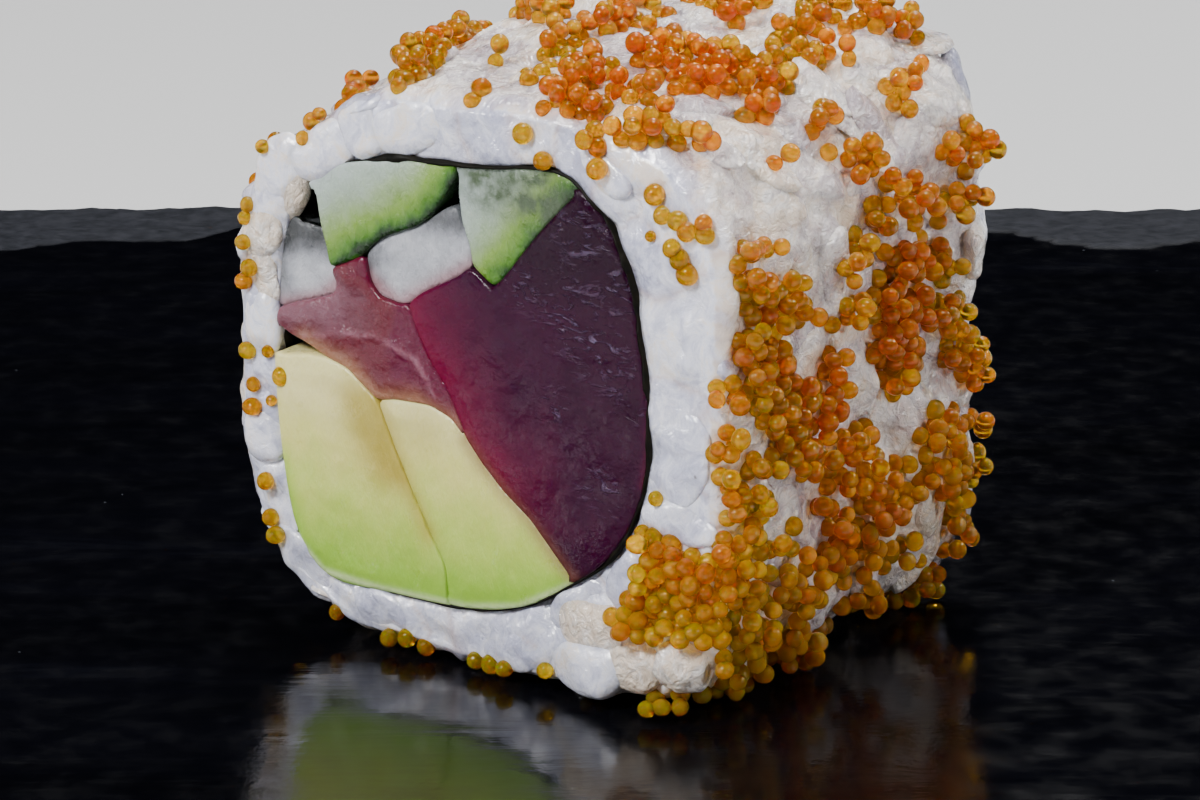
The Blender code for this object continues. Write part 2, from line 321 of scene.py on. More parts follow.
def rice_look(name):
    """Cooked rice, wet and a little see-through: cream outside, bluish grey where it is cut, a painted
    cool shade.
    """
    look = flesh(name, "rice", 0.30, 0.25, 0.6, Subsurface_Radius=(1.0, 0.85, 0.75))
    pulled = look.stretched((1.0, 0.7, 0.8), (0.3, 0.0, 0.2))
    blotch = look.uneven(2.4, 1.6, 6.0, 0.74, pulled, 0.8)
    base = look.toned(
        "tint",
        blotch,
        (0.00, (0.40, 0.34, 0.37)),
        (0.30, (0.60, 0.54, 0.55)),
        (0.62, (0.86, 0.80, 0.76)),
        (0.98, (0.80, 0.66, 0.53)),
    )
    # Painted cool shade: the cut ends take this bluish grey ramp in place of the cream one.
    cut = look.toned(
        "tint",
        blotch,
        (0.00, (0.42, 0.43, 0.58)),
        (0.30, (0.58, 0.59, 0.73)),
        (0.62, (0.79, 0.79, 0.88)),
        (0.98, (0.84, 0.74, 0.66)),
    )
    base = look.mix(look.attribute("cut"), base, cut)
    # Painted shade: the creases between the grains are darkened towards a greyish brown.
    base = look.mix(look.attribute("crease_shade", 0.62), base, (0.50, 0.37, 0.35))
    specks = look.ramp(look.cells(3.7), (0.035, 1.0), (0.055, 0.0))
    scarce = look.ramp(look.noise(6.0, 2.0), (0.56, 0.0), (0.60, 0.9))
    base = look.mix(look.times(specks, scarce), base, (0.07, 0.045, 0.03))
    look.set("Base Color", base)
    look.gloss(1.1, 0.16, 0.36, 0.38, 0.62)
    # The cut ends are smoother than the outside.
    uncut = look.sums("SUBTRACT", 1.0, look.attribute("cut", 0.82))
    crinkled = look.bump(look.times(look.noise(0.8, 4.0, 0.62, pulled, 1.0), uncut), 0.62)
    look.set("Normal", crinkled)
    # The film of water on it: its glints are finer than the rice's own unevenness.
    grainy = look.ramp(look.noise(3.0, 3.0), (0.42, 0.25), (0.58, 1.0))
    glitter = look.times(look.times(look.noise(0.55, 3.0, 0.6), grainy), uncut)
    look.set("Coat Weight", 1.0)
    look.set("Coat Roughness", 0.05)
    look.set("Coat IOR", 1.8)
    look.set("Coat Normal", look.bump(glitter, 0.40, over=crinkled))
    return look


def roe_look(name, deep, light):
    """Clear amber beads: light goes through them and lights the far side of each; their colour runs from
    deep to light with the tint, which is partly painted shade.
    """
    look = Look(
        name,
        "roe",
        Roughness=0.05,
        IOR=1.36,
        Transmission_Weight=0.84,
        Subsurface_Weight=1.0,
        Subsurface_Scale=1.1 * MM,
        Subsurface_Radius=(1.0, 0.45, 0.05),
    )
    # The tint is partly painted shade and light: higher beads lean to the deep colour, lower ones to the
    # light one.
    look.set("Base Color", look.mix(look.attribute("tint"), deep, light))
    return look


def nori_look():
    """Dried seaweed, nearly black."""
    look = Look("nori", "nori", Roughness=0.5, Specular_IOR_Level=0.12)
    grain = look.noise(0.8, 4.0)
    dark, brown = (0.0012, 0.0015, 0.0010), (0.010, 0.008, 0.004)
    look.set("Base Color", look.ramp(grain, (0.3, dark), (0.72, brown)))
    look.set("Normal", look.bump(grain, 0.12))
    return look


def tuna_large_look():
    """Dark raw tuna: crimson where it is thin, purple elsewhere, with wet flecks that are bumped and carry
    a painted pale lilac highlight.
    """
    look = flesh("tuna_large", "tuna_dark", 0.26, 0.15, 1.2, Specular_IOR_Level=0.2)
    base = look.toned(
        "red",
        look.uneven(0.34, 4.5, 4.0, 0.6),
        (0.02, (0.014, 0.0006, 0.010)),
        (0.22, (0.030, 0.0008, 0.018)),
        (0.40, (0.060, 0.0010, 0.022)),
        (0.66, (0.120, 0.0018, 0.028)),
        (0.95, (0.165, 0.0045, 0.030)),
    )
    base = look.mix(look.attribute("seam", 0.55), base, (0.16, 0.060, 0.036))
    strands = look.noise(0.8, 4.0, 0.6, look.stretched((0.5, 1.0, 1.3), (0.0, 0.7, 0.0)), 1.5)
    glint_flecks = look.times(look.ramp(strands, (0.52, 0.0), (0.64, 1.0)), look.attribute("wet"))
    # Painted highlight: the wet flecks are lightened to pale lilac, on top of their bump.
    base = look.mix(look.times(glint_flecks, 0.42), base, (0.30, 0.22, 0.36))
    look.set("Base Color", base)
    look.gloss(1.6, 0.14, 0.36)
    look.set("Normal", look.bump(look.noise(0.5, 3.0), 0.06, over=look.bump(glint_flecks, 0.20)))
    return look


def tuna_small_look():
    """Paler tuna with a fold of clear membrane across it, thin and pinkish over the avocado."""
    look = flesh("tuna_small", "tuna_pale", 0.22, 0.35, 1.6, Subsurface_Radius=(1.0, 0.35, 0.30))
    base = look.toned(
        "pale",
        look.uneven(0.9, 2.0, 4.0, 0.6),
        (0.05, (0.100, 0.0020, 0.026)),
        (0.35, (0.115, 0.0080, 0.020)),
        (0.65, (0.120, 0.026, 0.044)),
        (0.98, (0.180, 0.070, 0.098)),
    )
    base = look.mix(look.attribute("seam", 0.85), base, (0.360, 0.180, 0.100))
    patchy = look.ramp(look.noise(1.2, 3.0), (0.40, 0.1), (0.64, 0.6))
    film = look.times(look.attribute("film"), patchy)
    base = look.mix(film, base, (0.36, 0.17, 0.22))
    look.set("Base Color", base)
    look.gloss(1.5, 0.12, 0.32)
    look.set("Normal", look.bump(look.noise(0.6, 4.0, 0.6), 0.12))
    return look


def avocado_look():
    """Ripe avocado: cream at the stone's side, green at the skin's, with a painted tan shade by the fold
    and painted shade beside the tuna, and a painted highlight along the lip.
    """
    look = flesh("avocado", "avocado", 0.40, 0.30, 1.2, Subsurface_Radius=(1.0, 0.9, 0.35))
    base = look.toned(
        "rind",
        look.uneven(0.34, 3.2, 5.0, 0.62),
        (0.05, (0.760, 0.690, 0.310)),
        (0.24, (0.680, 0.660, 0.200)),
        (0.46, (0.480, 0.610, 0.105)),
        (0.68, (0.300, 0.520, 0.050)),
        (1.0, (0.130, 0.310, 0.020)),
    )
    # Painted shade: a darker tan band in the fold between the two pieces.
    base = look.mix(look.attribute("crease_shade", 0.95), base, (0.400, 0.310, 0.045))
    # Painted shade: the avocado darkens to brown beside the tuna.
    base = look.mix(look.attribute("edge", 0.75), base, (0.260, 0.150, 0.070))
    # Painted highlight: a pale green line along the lip of the base.
    base = look.mix(look.attribute("lip_ridge_and_highlight", 0.7), base, (0.66, 0.78, 0.42))
    look.set("Base Color", base)
    look.gloss(2.0, 0.26, 0.46)
    strokes = look.noise(1.1, 4.0, 0.6, look.stretched((1.0, 1.0, 0.4), (0.0, 0.45, 0.0)))
    look.set("Normal", look.bump(strokes, 0.20))
    return look


def cucumber_look():
    """Cucumber with its skin on one side: the skin attribute is the distance from it over 6 mm."""
    look = flesh("cucumber", "cucumber", 0.25, 0.35, 1.4, Subsurface_Radius=(0.8, 1.0, 0.6))
    base = look.toned(
        "skin",
        look.uneven(0.30, 1.8, 4.0),
        (0.00, (0.005, 0.020, 0.003)),
        (0.05, (0.012, 0.060, 0.005)),
        (0.12, (0.070, 0.190, 0.014)),
        (0.26, (0.180, 0.310, 0.045)),
        (0.42, (0.250, 0.350, 0.150)),
        (0.60, (0.320, 0.400, 0.310)),
        (1.0, (0.420, 0.490, 0.480)),
    )
    patchy = look.ramp(look.noise(1.3, 3.0), (0.34, 0.35), (0.60, 1.0))
    base = look.mix(look.times(look.attribute("clear"), patchy), base, (0.060, 0.090, 0.045))
    look.set("Base Color", base)
    look.gloss(1.2, 0.12, 0.36)
    wet = look.noise(0.7, 4.0, 0.65, look.stretched((1.0, 1.0, 0.5), (0.0, -0.5, 0.0)), 0.5)
    look.set("Normal", look.bump(wet, 0.22))
    return look


def cucumber_pale_look():
    """Seedy cucumber flesh: cloudy white, darker where it thins out at its edges."""
    look = flesh("cucumber_pale", "cucumber_pale", 0.25, 0.35, 1.5, Subsurface_Radius=(0.9, 1.0, 0.9))
    base = look.toned(
        "thin",
        look.uneven(0.7, 1.6, 4.0, 0.62),
        (0.05, (0.480, 0.490, 0.530)),
        (0.35, (0.320, 0.330, 0.370)),
        (0.65, (0.130, 0.135, 0.150)),
        (1.0, (0.040, 0.043, 0.046)),
    )
    base = look.mix(look.attribute("pink", 0.75), base, (0.330, 0.150, 0.170))
    look.set("Base Color", base)
    look.gloss(1.2, 0.14, 0.40)
    wet = look.noise(0.6, 4.0, 0.65, look.stretched((1.0, 1.0, 0.55), (0.0, -0.3, 0.0)), 0.5)
    look.set("Normal", look.bump(wet, 0.20))
    return look


def slate_look():
    """Wet slate: near black, with a soft streaked mirror of what stands on it."""
    look = Look("slate", "slate", Roughness=0.2, IOR=1.6)
    streaks = look.noise(9.0, 5.0, 0.62, look.stretched((0.22, 1.0, 1.0), (0.0, 0.0, 0.5)), 0.6)
    base = look.ramp(
        streaks,
        (0.32, (0.0006, 0.0007, 0.0014)),
        (0.60, (0.0011, 0.0012, 0.0024)),
        (0.78, (0.0035, 0.0038, 0.0060)),
    )
    broken = look.ramp(look.attribute("broken"), (0.05, 0.0), (0.75, 1.0))
    pale = look.ramp(
        look.noise(1.5, 4.0, 0.65), (0.35, (0.006, 0.007, 0.010)), (0.70, (0.020, 0.021, 0.027))
    )
    base = look.mix(broken, base, pale)
    specks = look.ramp(look.cells(2.3), (0.03, 1.0), (0.06, 0.0))
    scarce = look.ramp(look.noise(8.0, 2.0), (0.60, 0.0), (0.66, 0.6))
    base = look.mix(look.times(specks, scarce), base, (0.10, 0.11, 0.13))
    look.set("Base Color", base)
    dull = look.ramp(look.noise(3.0, 4.0), (0.35, 0.10), (0.70, 0.22))
    look.set("Roughness", look.mix(broken, dull, (0.6, 0.6, 0.6)))
    look.set("Specular IOR Level", look.sums("SUBTRACT", 0.20, look.times(broken, 0.13)))
    fine = look.noise(0.9, 4.0, 0.6, look.stretched((1.0, 0.6, 1.0)))
    first = look.bump(streaks, 0.16, 0.6)
    look.set("Normal", look.bump(fine, 0.016, over=first))
    return look


# ---- the rice's outside, as the solid has it ----
AROUND = 500  # columns of the rice's skin
ROWS = 140  # rows along it
FAR_OUT = 60.0  # from the axis, outside everything
GIRTH_STEPS = 721  # angles that the way round the roll is measured at


def reach(tree, angle, along, outwards):
    """How far from AXIS a surface is: the first met going outwards, or coming in from outside."""
    way = Vector((math.cos(angle), 0.0, math.sin(angle)))
    axis = Vector((AXIS[0], along, AXIS[1]))
    start, heading = (axis, way) if outwards else (axis + FAR_OUT * way, -way)
    return (tree.ray_cast(start, heading)[0] - axis).length


Shell = namedtuple("Shell", "angles alongs outer bore girth")


def shell():
    """Distances from AXIS to the solid's outside and bore, and the angles, evenly spaced in mm."""
    tree = tree_of(*node_arrays("rice"))
    coarse = np.linspace(0.0, math.tau, GIRTH_STEPS)
    middle = np.array([reach(tree, angle, ROLL_LENGTH / 2, False) for angle in coarse])
    ring = np.stack([middle * np.cos(coarse), middle * np.sin(coarse)], axis=1)
    walked = np.concatenate([[0.0], np.cumsum(np.linalg.norm(np.diff(ring, axis=0), axis=1))])
    angles = np.interp(np.arange(AROUND) / AROUND * walked[-1], walked, coarse)
    alongs = np.linspace(0.0, ROLL_LENGTH, ROWS)
    inside = np.clip(alongs, 0.02, ROLL_LENGTH - 0.02)
    outer = np.array([[reach(tree, angle, along, False) for along in inside] for angle in angles])
    bore = np.array([reach(tree, angle, ROLL_LENGTH / 2, True) for angle in angles])
    for _ in range(6):  # the solid's facets are smoothed away round the roll
        outer = 0.25 * np.roll(outer, 1, axis=0) + 0.5 * outer + 0.25 * np.roll(outer, -1, axis=0)
    return Shell(angles, alongs, outer, bore, walked[-1])


SHELL = shell()


def polar(angle, along, distance):
    """Points at these angles, places along the roll and distances from AXIS."""
    return np.stack(
        [AXIS[0] + distance * np.cos(angle), np.broadcast_to(along, np.shape(distance)),
         AXIS[1] + distance * np.sin(angle)],
        axis=-1,
    )


def looked_up(table, angle, along):
    """The table's value at angles and places along, between its rows and columns."""
    column = np.interp(
        np.mod(angle, math.tau), np.append(SHELL.angles, math.tau), np.arange(AROUND + 1)
    )
    row = np.clip(along / ROLL_LENGTH, 0.0, 1.0) * (ROWS - 1)
    left, low = np.floor(column).astype(int), np.minimum(np.floor(row).astype(int), ROWS - 2)
    a, b = column - left, row - low
    first, second = left % AROUND, (left + 1) % AROUND
    return (
        (1 - a) * ((1 - b) * table[first, low] + b * table[first, low + 1])
        + a * ((1 - b) * table[second, low] + b * table[second, low + 1])
    )


def on_outside(angle, along):
    """(point, outward normal, direction round the roll, direction along it) on the outside."""
    angle, along = np.asarray(angle, float), np.asarray(along, float)
    here = polar(angle, along, looked_up(SHELL.outer, angle, along))
    step = 0.02
    round_it = polar(angle + step, along, looked_up(SHELL.outer, angle + step, along)) - here
    ahead = np.clip(along + 0.4, 0.0, ROLL_LENGTH)
    behind = np.clip(along - 0.4, 0.0, ROLL_LENGTH)
    along_it = polar(angle, ahead, looked_up(SHELL.outer, angle, ahead)) - polar(
        angle, behind, looked_up(SHELL.outer, angle, behind)
    )
    round_it, along_it = unit(round_it), unit(along_it)
    normal = unit(np.cross(along_it, round_it))
    outward = -normal if np.mean(normal[..., 0] * np.cos(angle)) < 0 else normal
    return here, outward, round_it, along_it


def angle_at(walked):
    """The angle that is this many mm round the roll's outside."""
    return np.interp(
        np.mod(walked, SHELL.girth),
        np.append(np.arange(AROUND) / AROUND * SHELL.girth, SHELL.girth),
        np.append(SHELL.angles, math.tau),
    )


# ---- grains ----
def distinct(angle):
    """How far single grains stand clear of the mash: a little more on the left than elsewhere."""
    degrees = np.degrees(np.mod(angle, math.tau))
    left = clipped((degrees - 95.0) / 25.0) * clipped((290.0 - degrees) / 20.0)
    return 0.58 + 0.05 * left


def pressed_grains():
    """The grains of the outside: place round and along, turn, half-sizes, height, tint; in mm."""
    rows = []
    spacing = 2.5  # between the grains' middles
    for i in range(int(SHELL.girth / spacing)):
        for j in range(-1, int(ROLL_LENGTH / spacing) + 2):
            shift = DICE.uniform(-0.48, 0.48, 2) * spacing
            walked = (i + 0.5 * (j % 2)) * spacing + shift[0]
            along = (j + 0.5) * spacing + shift[1]
            if not -0.4 < along < ROLL_LENGTH + 0.4:
                continue
            size = DICE.uniform(0.75, 1.30)
            turn = DICE.uniform(0.0, math.pi)
            long_half = GRAIN[0] / 2 * size * DICE.uniform(0.85, 1.15)
            wide_half = GRAIN[1] / 2 * size * DICE.uniform(0.85, 1.25)
            height = 0.10 + 0.85 * DICE.random() ** 1.5
            place = walked % SHELL.girth
            rows.append((place, along, turn, long_half, wide_half, height, DICE.random()))
    rows = np.array(rows)
    rows[:, 5] *= distinct(angle_at(rows[:, 0]))
    return rows


CREASE = 0.07  # how much one grain tops the next where the crease between them ends, in mm


class Heap:
    """Rounded plates, heaped: how high they come in mm, the upper one's tint, and the creases."""

    def __init__(self, shape, ground, lowest, sharp):
        self.total = np.full(shape, ground)
        self.highest, self.second = np.full(shape, lowest), np.full(shape, lowest - 0.1)
        self.tints = np.full(shape, 0.4)
        self.sharp = sharp

    def add(self, spot, rise, tint):
        self.total[spot] += np.exp(self.sharp * rise)
        highest = self.highest[spot]
        above = rise > highest
        self.second[spot] = np.where(above, highest, np.maximum(self.second[spot], rise))
        self.tints[spot] = np.where(above, tint, self.tints[spot])
        self.highest[spot] = np.where(above, rise, highest)

    def height(self):
        return np.log(self.total) / self.sharp

    def creases(self):
        """1 where two plates are level, and 0 well inside one."""
        return np.exp(-(self.highest - self.second) / CREASE)


def turned(x, y, turn, long_half, wide_half):
    """Offsets along and across a grain, in its own half-sizes."""
    p = (x * math.cos(turn) + y * math.sin(turn)) / long_half
    q = (y * math.cos(turn) - x * math.sin(turn)) / wide_half
    return p, q


def relief_of(grains):
    """On the shell's grid: the height the grains give the mash, in mm, their tints, their creases."""
    girth = SHELL.girth
    walked = np.arange(AROUND) / AROUND * girth
    alongs = SHELL.alongs
    flat = np.stack(
        [np.repeat(walked, ROWS), np.tile(alongs, AROUND), np.zeros(AROUND * ROWS)], axis=1
    )
    drift = [
        (0.85 * layered_noise(flat + offset, 2.6, 3)).reshape(AROUND, ROWS) for offset in (5.0, 50.0)
    ]
    heap = Heap((AROUND, ROWS), 0.3, -1.0, 9.0)
    for place, along, turn, long_half, wide_half, height, tint in grains:
        across = (walked - place + girth / 2) % girth - girth / 2
        columns = np.nonzero(np.abs(across) < long_half * 1.5)[0]
        lines = np.nonzero(np.abs(alongs - along) < long_half * 1.5)[0]
        if not len(lines):
            continue
        spot = np.ix_(columns, lines)
        x = across[columns][:, None] + drift[0][spot]
        y = (alongs[lines] - along)[None, :] + drift[1][spot]
        p, q = turned(x, y, turn, long_half, wide_half)
        heap.add(spot, height * (1.0 - np.minimum((p * p + q * q) ** 1.4, 3.0)), tint)
    return heap.height(), heap.tints, heap.creases()


def wrinkles(points):
    """The fine unevenness of the wet mash, in mm, the same for the core and the grains on it."""
    pulled = np.asarray(points) * [1.0, 1.0, 0.62]
    ridges = 1.0 - 2.0 * np.abs(value_noise(pulled + 11.0, 2.1))
    fine = 0.14 * value_noise(points, 0.8) + 0.26 * value_noise(points + 40.0, 1.5)
    return 0.22 * ridges + fine + 0.30 * value_noise(points, 4.3)


def blob(subdivisions):
    """A round ball of small triangles, of radius 1."""
    ball = bmesh.new()
    bmesh.ops.create_icosphere(ball, subdivisions=subdivisions, radius=1.0)
    points = np.array([vertex.co[:] for vertex in ball.verts])
    faces = np.array([[vertex.index for vertex in face.verts] for face in ball.faces])
    ball.free()
    return points, faces


def grain_shapes(subdivisions, count):
    """A few different cooked grains of half-lengths 1: blunt, a little bent, dented."""
    points, faces = blob(subdivisions)
    shapes = []
    for index in range(count):
        shape = points.copy()
        blunt = np.sign(shape) * np.abs(shape) ** 0.80
        shape = 0.50 * shape + 0.50 * blunt
        shape[:, 1] *= 1.0 - 0.16 * shape[:, 0] * DICE.uniform(-1.0, 1.0)
        shape[:, 1] += 0.16 * DICE.uniform(-1.0, 1.0) * (shape[:, 0] ** 2 - 0.4)
        dent = layered_noise(shape + 9.0 * index, 0.9, 2)
        shape *= (1.0 + 0.13 * dent)[:, None]
        shapes.append(shape)
    return shapes, faces


def joined(shapes, faces, kinds, places, frames):
    """Copies of the shapes as one set of points and faces, and the copy that each point is of."""
    count, size = len(places), len(shapes[0])
    stack = np.array(shapes)[kinds]
    points = np.einsum("nvi,nij->nvj", stack, frames) + places[:, None, :]
    index = np.arange(count)[:, None, None] * size + faces[None, :, :]
    return points.reshape(-1, 3), index.reshape(-1, 3), np.repeat(np.arange(count), size)


def lying(turns, first, second, normals, tilt=0.16):
    """Frames (rows are the grain's own axes) that lie in a surface, turned and a little tipped."""
    along = first * np.cos(turns)[:, None] + second * np.sin(turns)[:, None]
    tip = DICE.normal(0.0, tilt, (2, len(turns)))
    along = unit(along + tip[0][:, None] * normals)
    up = normals - (normals * along).sum(axis=1)[:, None] * along
    up += tip[1][:, None] * np.cross(normals, along)
    up -= (up * along).sum(axis=1)[:, None] * along
    up = unit(up)
    return np.stack([along, np.cross(up, along), up], axis=1)


GRAINS = pressed_grains()
RELIEF, TINTS, CREASE_SHADE_MASK = relief_of(GRAINS)
CORE_SUNK = 0.30  # the mashed core lies this far inside the solid's outside
CORE_OVER_BORE = 0.45  # and reaches this far in past its bore, up to the nori
FACE_STEPS = 17  # rows of points across a cut end of the rice
# Where the nori shows as a wider dark line: (angle, spread, mm more than elsewhere).
NORI_WIDER = ((20.0, 14.0, 0.07), (-40.0, 8.0, 0.14), (113.0, 5.0, 0.40), (104.0, 10.0, 0.10))


def nori_room(angles):
    """Half the width in mm of the space for the nori, at each angle."""
    degrees = np.degrees(angles)
    room = np.full(len(degrees), 0.01)
    for centre, spread, more in NORI_WIDER:
        off = (degrees - centre + 180.0) % 360.0 - 180.0
        room += more * np.exp(-((off / spread) ** 2))
    return room


# Round the front end, in degrees: one layer of long slabs from SLAB_FROM through 0 to SLAB_TO, on the
# right, and greyer, bluish rice from COOL_SHADE_FROM through 0 to SLAB_TO, on the right and below: painted
# cool shade.
SLAB_FROM, SLAB_TO, COOL_SHADE_FROM = 335.0, 26.0, 215.0
THIN_RING = 4.0  # a ring narrower than this has one layer of cut grains, not two


def ring_sites(end):
    """The grains cut through round an end: centre, turn, half-sizes, height, tilts, tint."""
    angles = SHELL.angles
    rim = SHELL.outer[:, 0 if end == 0 else -1]
    sites = []
    degrees = 0.0
    while degrees < 360.0:
        angle = math.radians(degrees)
        low, high = np.interp(angle, angles, SHELL.bore), np.interp(angle, angles, rim)
        slab = end == 0 and (degrees < SLAB_TO or degrees > SLAB_FROM)
        cool_shade = end == 0 and (degrees < SLAB_TO or degrees > COOL_SHADE_FROM)
        rows = (0.5,) if slab or high - low < THIN_RING else (0.26, 0.74)
        length = DICE.uniform(2.6, 4.2) if slab else DICE.uniform(2.0, 3.4)
        for way in rows:
            distance = low + (high - low) * (way + DICE.uniform(-0.06, 0.06))
            shifted = angle + DICE.uniform(-0.05, 0.05)
            u = AXIS[0] + distance * math.cos(shifted)
            z = AXIS[1] + distance * math.sin(shifted)
            turn = shifted + math.pi / 2 + DICE.uniform(-0.3, 0.3)
            wide_half = (high - low) / len(rows) * 0.62
            height = DICE.uniform(-0.10, 0.15)
            tilts = DICE.uniform(-0.26, 0.26, 2)
            # Painted cool shade: grains on the right and below get only the greyer tints.
            tint = DICE.uniform(0.22, 0.58) if cool_shade else DICE.random()
            sites.append((u, z, turn, length, wide_half, height, *tilts, tint))
        degrees += math.degrees(length * 1.55 / ((low + high) / 2))
    return np.array(sites)


def face_relief(points, sites):
    """Facets on a cut end of the rice: their height in mm, their tints and the creases between."""
    drift = 0.55 * layered_noise(points + 5.0, 2.2, 3)
    heap = Heap(len(points), 0.1, -9.0, 16.0)
    for u, z, turn, long_half, wide_half, height, lean, tip, tint in sites:
        x, y = points[:, 0] - u + drift, points[:, 2] - z - drift
        p, q = turned(x, y, turn, long_half, wide_half)
        away = p * p + q * q
        rise = np.where(away < 3.0, height + lean * p + tip * q + 0.30 * (1.0 - away**1.5), -9.0)
        heap.add(slice(None), rise, tint)
    return heap.height() - 0.30 + 0.6 * wrinkles(points), heap.tints, heap.creases()


def rice_core():
    """The mashed rice: its outside with the relief, the two cut ends and the bore, one closed skin."""
    angles, alongs = SHELL.angles, SHELL.alongs
    bore = SHELL.bore - CORE_OVER_BORE + nori_room(angles)
    here, normal, _, _ = on_outside(angles[:, None] + 0 * alongs, 0 * angles[:, None] + alongs)
    lumps = RELIEF + wrinkles(here.reshape(-1, 3)).reshape(AROUND, ROWS)
    fade = np.clip(np.minimum(alongs, ROLL_LENGTH - alongs) / 1.0, 0.35, 1.0)
    skin = here + normal * ((lumps * fade) - CORE_SUNK)[..., None]
    ends, facts = {}, {"tint": {}, "crease_shade": {}}
    way = np.linspace(0.0, 1.0, FACE_STEPS)[:, None]
    ways = way[..., None]
    for end, sign in ((0, -1.0), (1, 1.0)):
        rim = skin[:, 0 if end == 0 else -1]
        edge = polar(angles, end * ROLL_LENGTH, bore + 0.10 * value_noise(polar(angles, 0, bore), 1.1))
        flat = edge[None] * (1 - ways) + rim[None] * ways
        rise, tints, creases = face_relief(flat.reshape(-1, 3), ring_sites(end))
        facts["tint"][end] = tints.reshape(FACE_STEPS, AROUND)
        facts["crease_shade"][end] = creases.reshape(FACE_STEPS, AROUND)
        rise = rise.reshape(FACE_STEPS, AROUND) * np.minimum(1.0, 4 * (1 - way))
        flat[..., 1] += sign * (rise - 0.14 * (1 - way) ** 8)
        ends[end] = flat
    rows = [*ends[0], *np.moveaxis(skin, 1, 0)[1:-1], *ends[1][::-1]]
    rows.append(polar(angles, ROLL_LENGTH * 0.66, bore))
    rows.append(polar(angles, ROLL_LENGTH * 0.33, bore))
    points = np.concatenate(rows)
    bored = np.zeros((2, AROUND))
    marks = {
        name: np.concatenate([facts[name][0], outside.T[1:-1], facts[name][1][::-1], bored]).ravel()
        for name, outside in (("tint", TINTS), ("crease_shade", CREASE_SHADE_MASK))
    }
    return points, tube_faces(len(rows), AROUND), marks


# The rice's look uses this for the painted cool shade of the cut ends and for their smoother bump.
def cutness(points):
    """1 on the cut ends of the rice, falling to 0 on its outside."""
    from_end = np.minimum(points[:, 1], ROLL_LENGTH - points[:, 1])
    return clipped(1.0 - (from_end - 0.3) / 1.3)


def build_rice(look, core_shape):
    """The mashed core and the grains that stand out of it; gives back what the roe can rest on."""
    points, faces, marks = core_shape
    core = piece("rice_core", points, faces, look, {**marks, "cut": cutness(points)})
    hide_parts("rice")

    angle = angle_at(GRAINS[:, 0])
    here, normal, round_it, along_it = on_outside(angle, np.clip(GRAINS[:, 1], 0, ROLL_LENGTH))
    half_thick = np.full(len(GRAINS), 0.55)
    halves = np.stack([GRAINS[:, 3], GRAINS[:, 4], half_thick], axis=1)
    proud = DICE.uniform(0.0, 0.12, len(GRAINS)) * distinct(angle)
    centre = here + normal * (GRAINS[:, 5] - CORE_SUNK - half_thick + proud)[:, None]
    stands_out = GRAINS[:, 5] > 0.36 * distinct(angle)
    behind_rim = GRAINS[:, 1] > 2.5
    off_board = np.sin(angle) > -0.93
    order = np.nonzero(stands_out & behind_rim & off_board)[0]
    frames = lying(GRAINS[order, 2], round_it[order], along_it[order], normal[order], 0.06)
    frames *= halves[order][:, :, None]
    shapes, ball = grain_shapes(3, 7)
    kinds = DICE.integers(0, len(shapes), len(order))
    made, made_faces, owner = joined(shapes, ball, kinds, centre[order], frames)
    made += normals_of(made, made_faces) * wrinkles(made)[:, None]
    facts = {"tint": GRAINS[order, 6][owner], "cut": cutness(made)}
    piece("rice_grains", made, made_faces, look, facts)
    return made, made_faces


# ---- grains on the cut ends ----
# Single grains that show on the front end: (u, z, half-length, half-width, turn, how far out, tint).
# Low tints are greyish, the middle ones white and high ones cream.
FACE_GRAINS = (
    (-16.4, 32.4, 2.9, 1.60, 60, 0.30, 0.72),
    (-12.5, 34.4, 2.7, 1.60, 38, 0.48, 0.62),
    (-9.4, 36.2, 2.0, 1.70, -60, 0.50, 0.52),
    (-5.6, 36.9, 2.5, 1.60, 20, 0.30, 0.60),
    (8.6, 36.2, 3.2, 1.30, -20, 0.15, 0.60),
    (-15.7, 30.7, 2.2, 0.85, 60, -0.30, 1.00),
    (-17.9, 28.5, 2.0, 1.40, 76, 0.25, 0.80),
    (-18.1, 25.4, 2.6, 1.30, 90, 0.15, 0.95),
    (-18.3, 21.8, 2.8, 1.30, 94, 0.20, 0.66),
    (-18.0, 17.8, 2.4, 1.20, 98, 0.10, 0.30),
    (-18.0, 13.8, 1.9, 1.55, 100, 0.55, 0.50),
    (-17.0, 9.4, 3.0, 1.40, 104, 0.20, 0.50),
    (-15.0, 4.9, 3.0, 1.40, 132, 0.15, 0.34),
    (-9.6, 2.9, 3.4, 1.50, 172, 0.12, 0.28),
    (3.6, 3.0, 3.6, 1.80, 12, 0.25, 0.26),
    (7.6, 6.6, 2.4, 1.10, 40, 0.05, 0.26),
    (9.3, 5.5, 3.0, 1.70, 4, 0.62, 0.95),
    (8.9, 2.5, 3.2, 1.75, 11, 0.90, 0.56),
    (12.6, 3.4, 2.1, 1.70, 13, 1.00, 0.98),
    (11.7, 9.3, 2.2, 1.20, 64, 0.60, 0.16),
    (15.8, 13.8, 2.6, 1.25, -8, 0.45, 0.42),
    (15.6, 18.2, 3.2, 2.20, 86, 0.20, 0.30),
)
BROKEN_GRAIN = (16.1, 4.2, 1.70, 1.55, 90, 1.60, 0.84)  # one seen end on, snapped off rough
